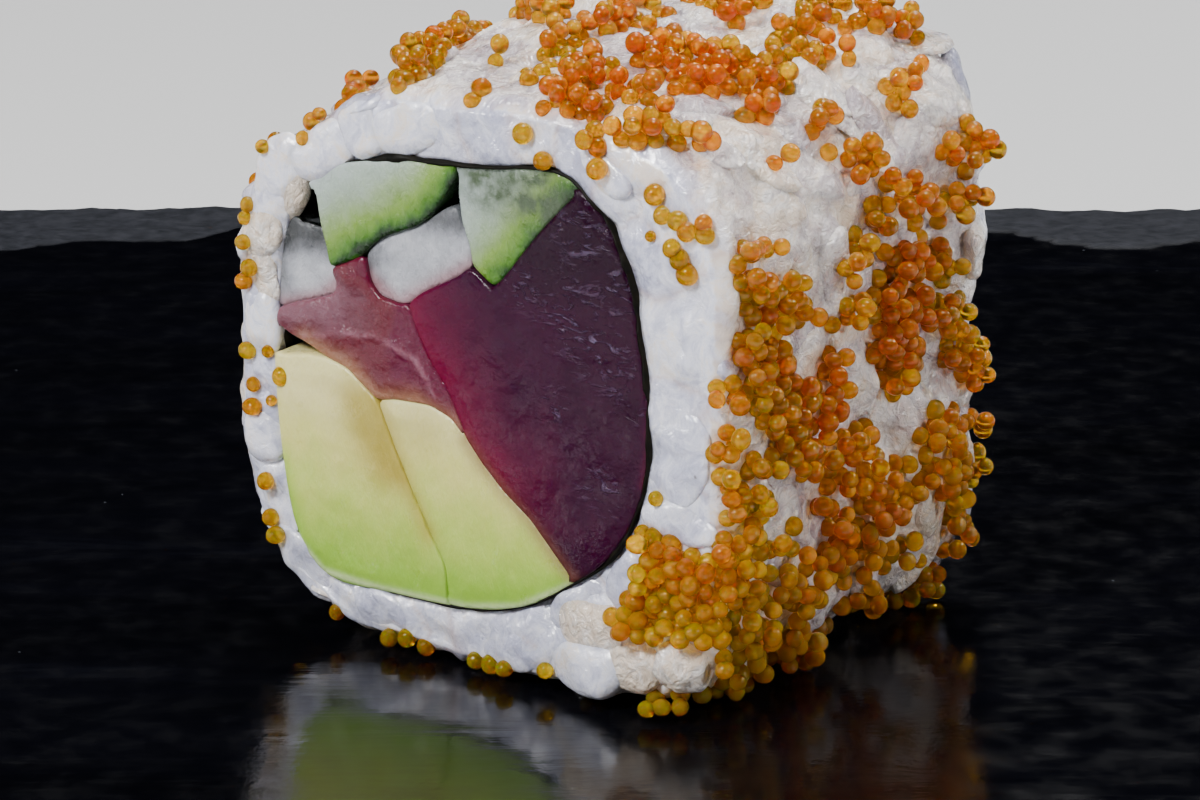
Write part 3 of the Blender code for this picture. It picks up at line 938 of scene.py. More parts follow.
# Circles on the front end, over the grains above, that no bead lies in: (u, z, radius).
KEPT_CLEAR = (
    (16.3, 4.1, 2.55), (6.9, 2.3, 1.9), (9.0, 2.8, 2.2), (11.0, 3.2, 2.2), (12.8, 3.6, 2.1),
    (7.6, 5.6, 1.6), (9.6, 5.6, 2.0), (11.0, 5.4, 1.6), (11.1, 8.3, 1.3), (11.9, 9.7, 1.3),
    (12.4, 10.6, 1.0), (14.6, 14.1, 1.6), (16.2, 13.9, 1.6), (17.3, 13.8, 1.2),
)  # fmt: skip
BACK_GRAINS = 46
SOFT_OUT = 0.45  # a grain that stands out no more than this is made wider, lower and rounder


def blocky(shape, squareness):
    """A rounder or squarer version of a ball's points: 1 is round, less is squarer."""
    squared = np.sign(shape) * np.abs(shape) ** squareness
    return squared / np.maximum(np.abs(squared).max(axis=0), 1e-6)


def back_grains():
    """Grains for the back end, which the front view doesn't show, by chance round the ring."""
    rim = SHELL.outer[:, -1]
    rows = []
    for index in range(BACK_GRAINS):
        angle = (index + DICE.uniform(-0.4, 0.4)) / BACK_GRAINS * math.tau
        low = np.interp(angle, SHELL.angles, SHELL.bore)
        high = np.interp(angle, SHELL.angles, rim)
        distance = low + (high - low) * DICE.uniform(0.35, 0.75)
        u = AXIS[0] + distance * math.cos(angle)
        z = AXIS[1] + distance * math.sin(angle)
        long_half = DICE.uniform(1.6, 2.7)
        wide_half = min(DICE.uniform(0.9, 1.6), (high - low) * 0.42)
        turn = math.degrees(angle) + 90.0 + DICE.uniform(-35.0, 35.0)
        out = DICE.uniform(0.10, 0.50)
        rows.append((u, z, long_half, wide_half, turn, out, DICE.random()))
    return rows


def build_end_grains(look):
    """Grains cut across on the two ends, slab-like, and the one seen end on."""
    front = [*FACE_GRAINS, BROKEN_GRAIN]
    rows = np.array([*front, *back_grains()])
    soft = rows[:, 5] <= SOFT_OUT
    rows[soft, 2:4] *= 1.12
    rows[soft, 5] *= 0.6
    at_front = np.arange(len(rows)) < len(front)
    out_way = np.where(at_front, -1.0, 1.0)
    thick = np.where(soft, 0.50, 0.85)
    thick[len(front) - 1] = 1.9
    end = np.where(at_front, 0.0, ROLL_LENGTH)
    places = np.stack([rows[:, 0], end + out_way * (rows[:, 5] - thick), rows[:, 1]], axis=1)
    normals = np.stack([0 * out_way, out_way, 0 * out_way], axis=1)
    across = np.broadcast_to([1.0, 0.0, 0.0], normals.shape)
    up = np.broadcast_to([0.0, 0.0, 1.0], normals.shape)
    halves = np.stack([rows[:, 2], rows[:, 3], thick], axis=1)
    frames = lying(np.radians(rows[:, 4]), across, up, normals, 0.09) * halves[:, :, None]
    sets = []
    for chosen, fineness in ((np.nonzero(at_front)[0], 4), (np.nonzero(~at_front)[0], 3)):
        points, ball = blob(fineness)
        shapes = [blocky(points, 0.90 if soft[index] else 0.74) * 0.97 for index in chosen]
        sets.append(joined(shapes, ball, np.arange(len(chosen)), places[chosen], frames[chosen]))
    (made, faces, owner), (back_points, back_faces, back_owner) = sets
    faces = np.concatenate([faces, back_faces + len(made)])
    made = np.concatenate([made, back_points])
    owner = np.concatenate([owner, back_owner + at_front.sum()])
    lumps = 0.26 * layered_noise(made, 2.6, 2) + 0.6 * wrinkles(made)
    broken = (owner == len(front) - 1) & (made[:, 1] < -0.7)
    lumps += np.where(broken, 0.22 * layered_noise(made + 20.0, 0.6, 3) - 0.05, 0.0)
    made += normals_of(made, faces) * lumps[:, None]
    # The cut mask also gives these grains the bluish grey painted cool shade, except the cream ones.
    facts = {"tint": rows[owner, 6], "cut": cutness(made) * (rows[owner, 6] < 0.8)}
    piece("rice_grains_cut", made, faces, look, facts)
    return made, faces


# ---- roe ----
# Streaks of beads on the outside: (angle, place along) at each end, half-width, beads.
STREAKS = (
    (27, 1.2, 26, 3.8, 1.1, 10), (31, 2.0, 28.5, 6.5, 0.3, 5), (21, 1.5, 21, 8.5, 0.9, 13),
    (19, 5.0, 16, 9.5, 0.6, 8), (18, 3.0, 8, 4.5, 2.1, 30), (12, 0.4, 5, 1.0, 0.7, 6),
    (8, 4.0, 0, 6.0, 2.1, 28), (2, 8.0, -3, 13.5, 1.1, 18), (0, 0.5, -5, 1.0, 0.7, 6),
    (-2, 6.0, -10, 10.0, 2.1, 34), (-8, 1.0, -12, 5.0, 1.4, 15), (-11, 8.0, -13, 16.5, 0.8, 17),
    (-16, 11.0, -18, 14.0, 0.8, 7), (-14, 0.5, -18, 4.0, 1.4, 14), (-20, 0.0, -28, 1.8, 1.3, 20),
    (-23, 4.0, -25.5, 6.5, 0.5, 4), (-22.5, 7.6, -22.5, 7.8, 0.1, 1), (-28, 7.0, -31, 10.0, 0.9, 9),
    (-21, 10.0, -24, 12.0, 0.8, 6), (-25, 11.0, -32, 14.0, 1.5, 18), (-20, 15.5, -24, 21.0, 1.5, 28),
    (-26, 16.0, -31, 18.0, 1.4, 15), (-33, 2.0, -36, 6.0, 1.5, 18), (-31, 6.0, -34, 9.0, 0.9, 8),
    (-33, 19.0, -34, 23.0, 0.6, 5), (-24, 22.0, -28, 29.0, 1.3, 24), (-14, 25.0, -18, 22.5, 1.1, 12),
    (-17, 26.0, -22, 30.0, 1.4, 16), (-34, 27.0, -38, 30.5, 1.2, 12), (-36, 14.0, -40, 20.0, 1.4, 15),
    (-40, 1.0, -46, 8.0, 1.8, 26), (-42, 9.0, -50, 16.0, 1.6, 22), (-42, 24.0, -48, 30.0, 1.5, 18),
    (30, 17.0, 26, 19.5, 1.1, 13), (24, 15.5, 20, 12.5, 0.7, 9), (15, 14.5, 10, 12.5, 0.8, 8),
    (13, 17.0, 10, 19.5, 1.5, 18), (8, 12.0, 2, 11.5, 0.7, 8), (8, 17.0, 2, 22.5, 2.0, 40),
    (0, 18.0, -5, 20.5, 0.9, 10), (22, 19.5, 14, 21.0, 1.0, 12), (30, 21.0, 24, 22.0, 0.8, 9),
    (22, 22.5, 14, 23.5, 0.6, 7), (31, 25.0, 32, 29.5, 1.2, 16), (24, 25.5, 26, 29.0, 0.9, 12),
    (18, 25.0, 12, 26.5, 0.6, 8), (9, 22.0, 3, 28.0, 1.2, 22), (1, 26.0, -10, 30.0, 1.4, 24),
    (61, 0.2, 51, 1.4, 0.6, 14), (52, 1.6, 47, 3.4, 0.4, 5), (63, 2.0, 70, 1.0, 0.5, 6),
    (38, 12.5, 35, 18.0, 0.6, 12), (40.5, 7.0, 40, 8.0, 0.2, 2),
    (46, 3.0, 46, 3.1, 0.1, 1), (42, 13.0, 45, 15.5, 0.6, 6), (45, 21.0, 40, 23.0, 0.6, 6),
    (44, 24.0, 44, 26.5, 0.4, 4), (49, 9.0, 48, 11.5, 0.6, 6), (53, 10.0, 53, 14.5, 1.0, 13),
    (54, 1.0, 52, 2.5, 0.9, 7), (57, 7.0, 58, 12.0, 1.0, 15), (60, 11.0, 61, 16.5, 1.2, 20),
    (57, 16.0, 52, 21.0, 0.9, 15), (61, 19.0, 61, 23.0, 0.9, 12), (65, 8.0, 69, 14.5, 1.2, 20),
    (70, 9.0, 72, 12.5, 0.6, 7), (61, 3.0, 66, 6.0, 1.3, 15), (70, 1.0, 76, 5.0, 1.3, 18),
    (71, 5.0, 78, 7.5, 1.0, 12), (83, 4.2, 84, 5.8, 0.3, 3), (89, 0.3, 90, 2.2, 0.3, 3),
    (94, 5.5, 98, 7.5, 0.3, 2), (80, 7.0, 88, 11.0, 0.7, 9), (90, 10.0, 93, 13.5, 0.9, 12),
    (88, 14.0, 92, 19.5, 1.1, 20), (95, 17.0, 103, 15.0, 0.5, 6), (79, 15.5, 77, 18.0, 0.5, 4),
    (83, 19.5, 84, 20.5, 0.3, 2), (70, 20.0, 74, 21.5, 0.6, 6), (73, 22.5, 82, 25.5, 1.5, 28),
    (94, 22.5, 95, 24.0, 0.5, 3), (62, 24.0, 66, 29.5, 1.0, 17), (58, 24.0, 50, 29.0, 1.3, 24),
    (106, 1.0, 112, 5.0, 0.9, 12), (110, 4.0, 120, 14.0, 1.2, 30), (118, 12.0, 135, 24.0, 1.3, 32),
    (127, 4.0, 141, 13.0, 0.9, 16), (108, 16.0, 121, 25.0, 0.9, 18), (140, 18.0, 152, 28.0, 1.2, 18),
)  # fmt: skip
# The same on the cut face: (u, z) at each end, half-width, beads.
FACE_STREAKS = (
    (13.6, 11.8, 18.2, 11.4, 0.5, 12), (13.4, 10.6, 18.6, 10.4, 0.6, 18), (13.4, 9.2, 18.8, 9.2, 0.7, 24),
    (12.6, 7.8, 18.8, 7.8, 0.7, 26), (12.4, 6.6, 18.8, 6.8, 0.6, 24), (13.8, 5.6, 14.2, 4.6, 0.5, 5),
    (13.6, 1.7, 16.6, 1.3, 0.4, 8), (18.4, 2.4, 19.0, 6.4, 0.6, 14), (14.4, 11.2, 18.4, 8.4, 1.2, 20),
    (13.2, 12.4, 13.6, 12.6, 0.3, 2),
)  # fmt: skip
# Beads that sit alone or in short rows round the front rim: (u, z, radius).
FRONT_BEADS = (
    (-12.5, 1.8, 0.63), (-7.8, 1.0, 0.67), (-6.3, 1.3, 0.67), (-4.9, 0.9, 0.67), (-0.6, 0.9, 0.67),
    (0.7, 0.9, 0.72), (2.2, 1.1, 0.63), (5.4, 1.6, 0.60), (-19.4, 24.4, 0.66), (-18.7, 25.5, 0.62),
    (-19.3, 19.5, 0.64), (-17.4, 19.8, 0.45), (-18.8, 17.2, 0.53), (-18.7, 15.7, 0.70),
    (-17.3, 16.3, 0.45), (-17.6, 10.6, 0.63), (-17.5, 7.9, 0.63), (-16.9, 6.8, 0.70),
    (-17.3, 34.1, 0.52), (-13.6, 36.2, 0.62), (-14.0, 35.1, 0.50), (-12.9, 36.8, 0.50),
    (-19.0, 29.8, 0.56), (-19.3, 28.8, 0.52), (-19.0, 27.3, 0.55), (14.0, 12.6, 0.72), (14.2, 15.3, 0.50),
    (3.9, 37.9, 0.70), (5.4, 36.3, 0.68), (9.9, 36.5, 0.74), (13.5, 32.5, 0.42), (11.4, 6.9, 0.68),
    (12.4, 8.2, 0.72), (11.9, 5.9, 0.60), (13.9, 35.3, 0.72), (14.6, 34.1, 0.60), (15.7, 33.9, 0.66),
    (16.4, 33.3, 0.66), (17.4, 33.9, 0.62), (17.6, 33.2, 0.66), (15.4, 32.1, 0.64), (15.8, 31.4, 0.70),
    (16.2, 30.4, 0.74),
)
UNSEEN_STREAKS = 46  # more by chance on the sides that the front view doesn't show
THROWN_FROM = 45.0  # from the axis, outside the roll
BEFORE_FACE = -20.0  # in front of the front end
ABOUT_RADIUS = 20.0  # the outside's usual distance from the axis, for turning degrees into mm
LIFTS = (0.30, 0.95, 1.60, 2.2)  # how far above the rice a bead may rest, in radii
FILLED = 0.85  # share of its beads that a streak on the outside is filled to
TRIES = 6  # throws for each bead before a streak counts as full
CLOSEST = 1.5  # least distance between two beads' middles, in radii: they sink in a little


def unseen_streaks():
    """Streaks for the left side, the bottom edges and the back end."""
    made = []
    for _ in range(UNSEEN_STREAKS):
        angle = DICE.uniform(154.0, 305.0)
        along = DICE.uniform(0.8, ROLL_LENGTH - 0.8)
        turn = DICE.uniform(0.0, math.pi)
        length = DICE.uniform(1.0, 6.0)
        wide = DICE.uniform(0.3, 1.6)
        last = angle + 3.0 * length * math.cos(turn)
        along_last = along + length * math.sin(turn)
        made.append((angle, along, last, along_last, wide, int(2 + length * wide * 2.2)))
    return made


def build_roe(looks, ground):
    """Beads of roe, thrown along the streaks so that they touch and only sink a little."""
    trees = [tree_of(points, faces) for points, faces in ground]
    clear = np.array(KEPT_CLEAR)

    def struck(start, heading):
        """The first spot on the rice that a bead thrown this way meets, and the way out of it."""
        hits = [tree.ray_cast(Vector(start), Vector(heading)) for tree in trees]
        hits = [hit for hit in hits if hit[0] is not None]
        if not hits:
            return None, None
        spot, normal = (np.array(part) for part in min(hits, key=lambda hit: hit[3])[:2])
        return spot, normal if normal @ heading < 0 else -normal

    into = np.array([0.0, 1.0, 0.0])
    placed, sizes = [], []
    for u, z, radius in FRONT_BEADS:
        # One that would miss the rim, or lie far behind it, stays by the front end.
        spot, _ = struck(np.array([u, BEFORE_FACE, z]), into)
        depth = 0.2 if spot is None or spot[1] > 1.5 else spot[1] - 0.45 * radius
        placed.append((u, depth, z))
        sizes.append(radius)
    placed = np.array(placed)

    def settle(start, heading, outward_hint):
        """Where a bead thrown from start comes to rest: on the rice, or on beads under it."""
        nonlocal placed
        radius = BEAD * DICE.uniform(0.90, 1.12)
        spot, normal = struck(start, heading)
        if spot is None:
            return False
        normal = 0.5 * normal + 0.5 * outward_hint
        normal /= np.linalg.norm(normal)
        for lift in LIFTS:
            centre = spot + normal * radius * lift
            if centre[2] < radius * 0.9 and normal[2] < 0.0:
                centre[2] = radius * 0.9
            off = np.hypot(clear[:, 0] - centre[0], clear[:, 1] - centre[2])
            if centre[1] < 0.6 and np.any(off < clear[:, 2]):
                return False
            if np.min(np.linalg.norm(placed - centre, axis=1)) > radius * CLOSEST:
                placed = np.vstack([placed, centre])
                sizes.append(radius)
                return True
        return False

    for first, along_first, last, along_last, wide, count in (*STREAKS, *unseen_streaks()):
        made = tries = 0
        while made < FILLED * count and tries < TRIES * count:
            tries += 1
            t = DICE.random()
            across = DICE.uniform(-wide, wide)
            lead = np.array([math.radians(last - first) * ABOUT_RADIUS, along_last - along_first])
            lead = lead / max(float(np.linalg.norm(lead)), 1e-6)
            angle = math.radians(first + t * (last - first)) - across * lead[1] / ABOUT_RADIUS
            along = along_first + t * (along_last - along_first) + across * lead[0]
            if not 0.05 < along < ROLL_LENGTH - 0.05:
                continue
            out = np.array([math.cos(angle), 0.0, math.sin(angle)])
            axis = np.array([AXIS[0], along, AXIS[1]])
            _, normal, _, _ = on_outside(np.array([angle]), np.array([along]))
            made += settle(axis + THROWN_FROM * out, -out, normal[0])
    for u_first, z_first, u_last, z_last, wide, count in FACE_STREAKS:
        made = tries = 0
        while made < count and tries < TRIES * count:
            tries += 1
            t = DICE.random()
            u = u_first + t * (u_last - u_first) + DICE.uniform(-wide, wide)
            z = z_first + t * (z_last - z_first) + DICE.uniform(-wide, wide)
            hint = np.array([0.0, -1.0, 0.0])
            made += settle(np.array([u, BEFORE_FACE, z]), -hint, hint)

    centres, sizes = placed, np.array(sizes)
    shape, faces = blob(3)
    shapes = [shape * (1.0 + 0.03 * layered_noise(shape + 5.0 * k, 1.3, 2))[:, None] for k in range(5)]
    patch = layered_noise(centres, 6.0, 2) + DICE.normal(0.0, 0.35, len(centres))
    groups = np.digitize(patch, np.quantile(patch, [0.34, 0.70]))
    for group, look in enumerate(looks):
        chosen = np.nonzero(groups == group)[0]
        squash = DICE.uniform(0.90, 1.06, (len(chosen), 3)) * sizes[chosen][:, None]
        frames = np.eye(3)[None] * squash[:, :, None]
        kinds = DICE.integers(0, len(shapes), len(chosen))
        made, made_faces, owner = joined(shapes, faces, kinds, centres[chosen], frames)
        # Painted shade and light: higher beads are tinted towards the deep colour and lower ones towards
        # the light one, with some at random.
        under = 0.5 - (centres[chosen, 2] - AXIS[1]) / 30.0
        tint = np.clip(under + DICE.uniform(-0.25, 0.25, len(chosen)), 0.0, 1.0)[owner]
        piece(look.material.name, made, made_faces, look, {"tint": tint})


# ---- nori ----
NORI_COLUMNS = 420
NORI_INNER, NORI_OUTER = -0.13, 0.02  # its faces, from the middle of the solid's thickness


def nori_middle():
    """Distances from AXIS to the middle of the nori's thickness, at even angles."""
    tree = tree_of(*node_arrays("nori"))
    angles = np.arange(NORI_COLUMNS) / NORI_COLUMNS * math.tau
    inner, outer = (
        np.array([reach(tree, angle, ROLL_LENGTH / 2, outwards) for angle in angles])
        for outwards in (True, False)
    )
    return (inner + outer) / 2


NORI_MIDDLE = nori_middle()


def nori_at(angles):
    """Distances from AXIS to the middle of the nori's thickness, at any angles."""
    column = np.mod(angles, math.tau) / math.tau * NORI_COLUMNS
    return np.interp(column, np.arange(NORI_COLUMNS + 1), [*NORI_MIDDLE, NORI_MIDDLE[0]])


def nori_hidden(angles):
    """1 where the rice closes over the nori's front edge, on the left, and 0 elsewhere."""
    degrees = np.degrees(np.mod(angles, math.tau))
    return clipped((degrees - 128.0) / 8.0) * clipped((238.0 - degrees) / 10.0)


def build_nori(look):
    """The sheet of nori: a thin crinkled tube between the rice and the fillings, ragged at its ends."""
    angles = np.arange(NORI_COLUMNS) / NORI_COLUMNS * math.tau
    room = nori_room(angles)
    alongs = np.linspace(-0.05, ROLL_LENGTH + 0.05, 14)
    rows = []
    for outer, row_order in ((True, alongs), (False, alongs[::-1])):
        for along in row_order:
            side = room + NORI_OUTER if outer else np.full(NORI_COLUMNS, NORI_INNER)
            ring = polar(angles, along, NORI_MIDDLE + side)
            crinkle = 0.04 * value_noise(ring + 3.0, 2.0) + 0.04 * value_noise(ring, 0.8)
            at_edge = min(along, ROLL_LENGTH - along) < 0.3
            ragged = 0.20 * value_noise(ring * [1, 0, 1] + 70.0, 0.9) if at_edge else 0.0
            set_back = 1.3 * nori_hidden(angles) if along < 0.3 else 0.0
            rows.append(polar(angles, along + ragged + set_back, NORI_MIDDLE + side + crinkle))
    nori = piece("nori_sheet", np.concatenate(rows), tube_faces(len(rows), NORI_COLUMNS), look)
    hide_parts("nori")


# ---- fillings ----
FACE_STEP = 0.24  # between the points of a filling's cut face, in mm
EDGE = 0.15  # radius of the edge round it
SIDE_ROWS = (0.5, 1.4, 3.5, 8.0, 15.6, 23.2, 27.7, 29.8, 30.7)  # where its sides have points


def gap_to(points, line):
    """Distance in mm from each point to a broken line on the cut face."""
    flat = points[:, [0, 2]] if points.shape[1] == 3 else points
    best = np.full(len(flat), 1e9)
    for a, b in zip(line[:-1], line[1:]):
        a, b = np.array(a), np.array(b)
        t = clipped((flat - a) @ (b - a) / ((b - a) @ (b - a)))
        best = np.minimum(best, np.linalg.norm(flat - (a + t[:, None] * (b - a)), axis=1))
    return best


def outline(node):
    """A filling's edge on a cut across the roll: points in order, anticlockwise, evenly spaced."""
    points, triangles = node_arrays(node)
    corners = points[triangles] - [0.0, ROLL_LENGTH / 2, 0.0]
    low, high = corners[:, :, 1].min(axis=1), corners[:, :, 1].max(axis=1)
    segments = []
    for triangle in corners[(low < 0.0) & (high >= 0.0)]:
        ends = []
        for first, second in ((0, 1), (1, 2), (2, 0)):
            a, b = triangle[first], triangle[second]
            if (a[1] < 0.0) != (b[1] < 0.0):
                ends.append((a + (b - a) * a[1] / (a[1] - b[1]))[[0, 2]])
        segments.append(ends)
    left = np.array(segments)
    line = [left[0, 0], left[0, 1]]
    left = left[1:]
    while len(left):
        gaps = np.linalg.norm(left - line[-1], axis=2)
        nearest, end = np.unravel_index(np.argmin(gaps), gaps.shape)
        line.append(left[nearest, 1 - end])
        left = np.delete(left, nearest, axis=0)
    line = np.array(line)
    walked = np.concatenate([[0.0], np.cumsum(np.linalg.norm(np.diff(line, axis=0), axis=1))])
    even = np.linspace(0.0, walked[-1], int(walked[-1] / FACE_STEP), endpoint=False)
    loop = np.stack([np.interp(even, walked, line[:, axis]) for axis in (0, 1)], axis=1)
    for _ in range(2):
        loop = 0.25 * np.roll(loop, 1, axis=0) + 0.5 * loop + 0.25 * np.roll(loop, -1, axis=0)
    after = np.roll(loop, -1, axis=0)
    return loop if np.sum(loop[:, 0] * after[:, 1] - after[:, 0] * loop[:, 1]) > 0 else loop[::-1]


def ways_out(loop):
    """Outward directions at the points of an anticlockwise outline."""
    ahead = np.roll(loop, -1, axis=0) - np.roll(loop, 1, axis=0)
    return unit(np.stack([ahead[:, 1], -ahead[:, 0]], axis=1))


def pressed_out(loop, grow):
    """An outline moved out by grow, and up to the nori where that is next to it."""
    out = ways_out(loop)
    off = loop - AXIS
    distance = np.linalg.norm(off, axis=1)
    gap = nori_at(np.arctan2(off[:, 1], off[:, 0])) - distance
    facing = (off * out).sum(axis=1) / distance
    beside = clipped((1.0 - gap) / 0.5) * clipped((facing - 0.2) / 0.4)
    move = grow * (1.0 - beside) + beside * (gap + NORI_INNER + 0.05) / np.maximum(facing, 0.6)
    return loop + out * move[:, None]


def filled(loop):
    """Flat points and triangles inside an outline, with the edges round the rim, each one way."""
    inset = loop - 0.5 * EDGE * ways_out(loop)
    low, high = loop.min(axis=0), loop.max(axis=0)
    grid = np.stack(
        np.meshgrid(np.arange(low[0], high[0], FACE_STEP), np.arange(low[1], high[1], 0.87 * FACE_STEP)),
        axis=-1,
    )
    grid[1::2, :, 0] += FACE_STEP / 2
    grid = grid.reshape(-1, 2)
    closed = np.vstack([loop, loop[:1]])
    grid = grid[gap_to(grid, closed) > EDGE]
    flat = [Vector(point) for point in np.concatenate([loop, inset, grid])]
    made, _, triangles, *_ = delaunay_2d_cdt(flat, [], [list(range(len(loop)))], 1, 1e-5)
    made = np.array([point[:] for point in made])
    triangles = np.array(triangles)
    used = np.unique(triangles)
    made, triangles = made[used], np.searchsorted(used, triangles)
    pairs = np.concatenate([triangles[:, [0, 1]], triangles[:, [1, 2]], triangles[:, [2, 0]]])
    codes, turned = pairs @ [len(made), 1], pairs @ [1, len(made)]
    return made, triangles, pairs[~np.isin(codes, turned)], gap_to(made, closed)


def build_filling(node, look, grow, proud, relief, attributes, ridges=()):
    """A filling run from end to end: its two cut faces, uneven and round-edged, and its sides."""
    flat, triangles, rim, depth = filled(pressed_out(outline(node), grow))
    count = len(flat)
    rounding = EDGE - np.sqrt(np.maximum(EDGE**2 - np.maximum(EDGE - depth, 0.0) ** 2, 0.0))
    layers = []
    for end, out in ((0.0, -1.0), (ROLL_LENGTH, 1.0)):
        spots = np.stack([flat[:, 0], np.full(count, end), flat[:, 1]], axis=1)
        rise = sum(height * layered_noise(spots + 13.0 * size, size, 2) for size, height in relief)
        rise = rise + sum(height * measure(spots) for height, measure in ridges)
        inward = clipped(depth / 1.2)
        spots[:, 1] += out * (proud + rise * inward + 0.10 * inward - rounding)
        layers.append(spots)
    edge = np.unique(rim)
    for along in SIDE_ROWS:
        side = np.stack([flat[edge, 0], np.full(len(edge), along), flat[edge, 1]], axis=1)
        wavy = 0.06 * value_noise(side + 5.0, 3.0)
        side[:, [0, 2]] += wavy[:, None] * (side[:, [0, 2]] - flat.mean(axis=0)) / 8.0
        layers.append(side)
    faces = [triangles, triangles[:, ::-1] + count]
    place = np.full(count, -1)
    place[edge] = np.arange(len(edge))
    rows = [rim, *(2 * count + k * len(edge) + place[rim] for k in range(len(SIDE_ROWS))), rim + count]
    for near_row, far_row in zip(rows[:-1], rows[1:]):
        faces.append(np.stack([near_row[:, 1], near_row[:, 0], far_row[:, 0]], axis=1))
        faces.append(np.stack([near_row[:, 1], far_row[:, 0], far_row[:, 1]], axis=1))
    points = np.concatenate(layers)
    extra = {label: measure(points) for label, measure in attributes.items()}
    made = piece(node + "_cut", points, np.concatenate(faces), look, extra)
    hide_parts(node)
    return made


# Lines and spots on the cut face, as (u, z), or (u, z, reach) for a spot.
CUCUMBER_LEFT_SKIN = ((-11.9, 26.4), (-10.0, 27.8), (-7.4, 29.3), (-3.8, 31.1), (-1.9, 33.6), (-0.9, 35.2))
CUCUMBER_RIGHT_SKIN = ((1.2, 26.9), (3.2, 29.0), (5.8, 32.0), (8.0, 35.2))
AVOCADO_BASE = ((-15.6, 6.6), (-13.2, 4.5), (-8.0, 4.2), (-1.0, 4.3), (3.4, 5.2), (7.6, 7.6))
AVOCADO_OUTSIDE = ((-16.9, 12.0), (-15.8, 7.0), *AVOCADO_BASE)
AVOCADO_FOLD = ((-8.2, 18.2), (-7.0, 15.0), (-5.4, 11.8), (-4.1, 9.4))
# Where the painted shade of the fold lies widest, on the left piece.
AVOCADO_SHADE_BAND = ((-9.9, 17.6), (-9.2, 15.6), (-7.6, 13.2))
AVOCADO_BY_TUNA = ((-0.9, 16.5), (0.4, 15.0), (4.2, 11.9), (6.2, 9.8), (8.4, 7.8))
TUNA_RED = ((-5.6, 25.0), (-4.9, 23.3), (-2.4, 19.6), (-0.9, 16.5), (1.6, 14.0))
TUNA_EDGE = ((13.7, 24.0), (13.9, 18.5), (13.4, 16.0))
TUNA_ON_AVOCADO = (
    (-14.2, 20.9), (-12.3, 20.1), (-10.8, 19.7), (-8.3, 17.9), (-5.0, 18.2), (-2.2, 17.2),
)  # fmt: skip
TUNA_BY_AVOCADO = ((-0.9, 16.5), (1.2, 14.4), (4.2, 11.9), (6.4, 9.8), (8.4, 7.8))
# Spots of wet flecks on the large tuna, bumped and painted pale lilac as a painted highlight: (u, z,
# reach).
TUNA_GLINT_SPOTS = (
    (7.6, 26.6, 1.9), (9.9, 24.4, 1.7), (8.4, 32.0, 1.6), (11.4, 28.6, 1.2), (12.2, 22.0, 1.3),
    (4.0, 28.0, 1.2), (6.4, 20.0, 1.0), (10.0, 15.0, 1.3),
)  # fmt: skip
CUCUMBER_CLEAR = ((0.2, 34.4, 2.2), (4.3, 34.2, 2.2), (2.4, 34.6, 1.6), (5.6, 33.4, 1.6))
MEMBRANE = ((-16.4, 20.6), (-14.8, 21.2), (-11.2, 22.1), (-8.1, 22.3), (-5.0, 21.4), (-3.2, 18.8))
STICK_FEET = (
    (-16.2, 23.1), (-13.0, 24.2), (-11.5, 25.5), (-8.9, 26.1), (-6.4, 24.8), (-4.5, 25.9),
    (-0.5, 28.3),
)  # fmt: skip


def near(line, reach):
    """A measure that is 1 on the line and falls to 0 over this many mm."""
    return lambda points: np.exp(-((gap_to(points, line) / reach) ** 2))


def spots(places):
    """A measure that is 1 at these places (u, z, reach) and falls away round each."""

    def measure(points):
        total = np.zeros(len(points))
        for u, z, reach in places:
            total += np.exp(-((points[:, 0] - u) ** 2 + (points[:, 2] - z) ** 2) / reach**2)
        return clipped(total)

    return measure


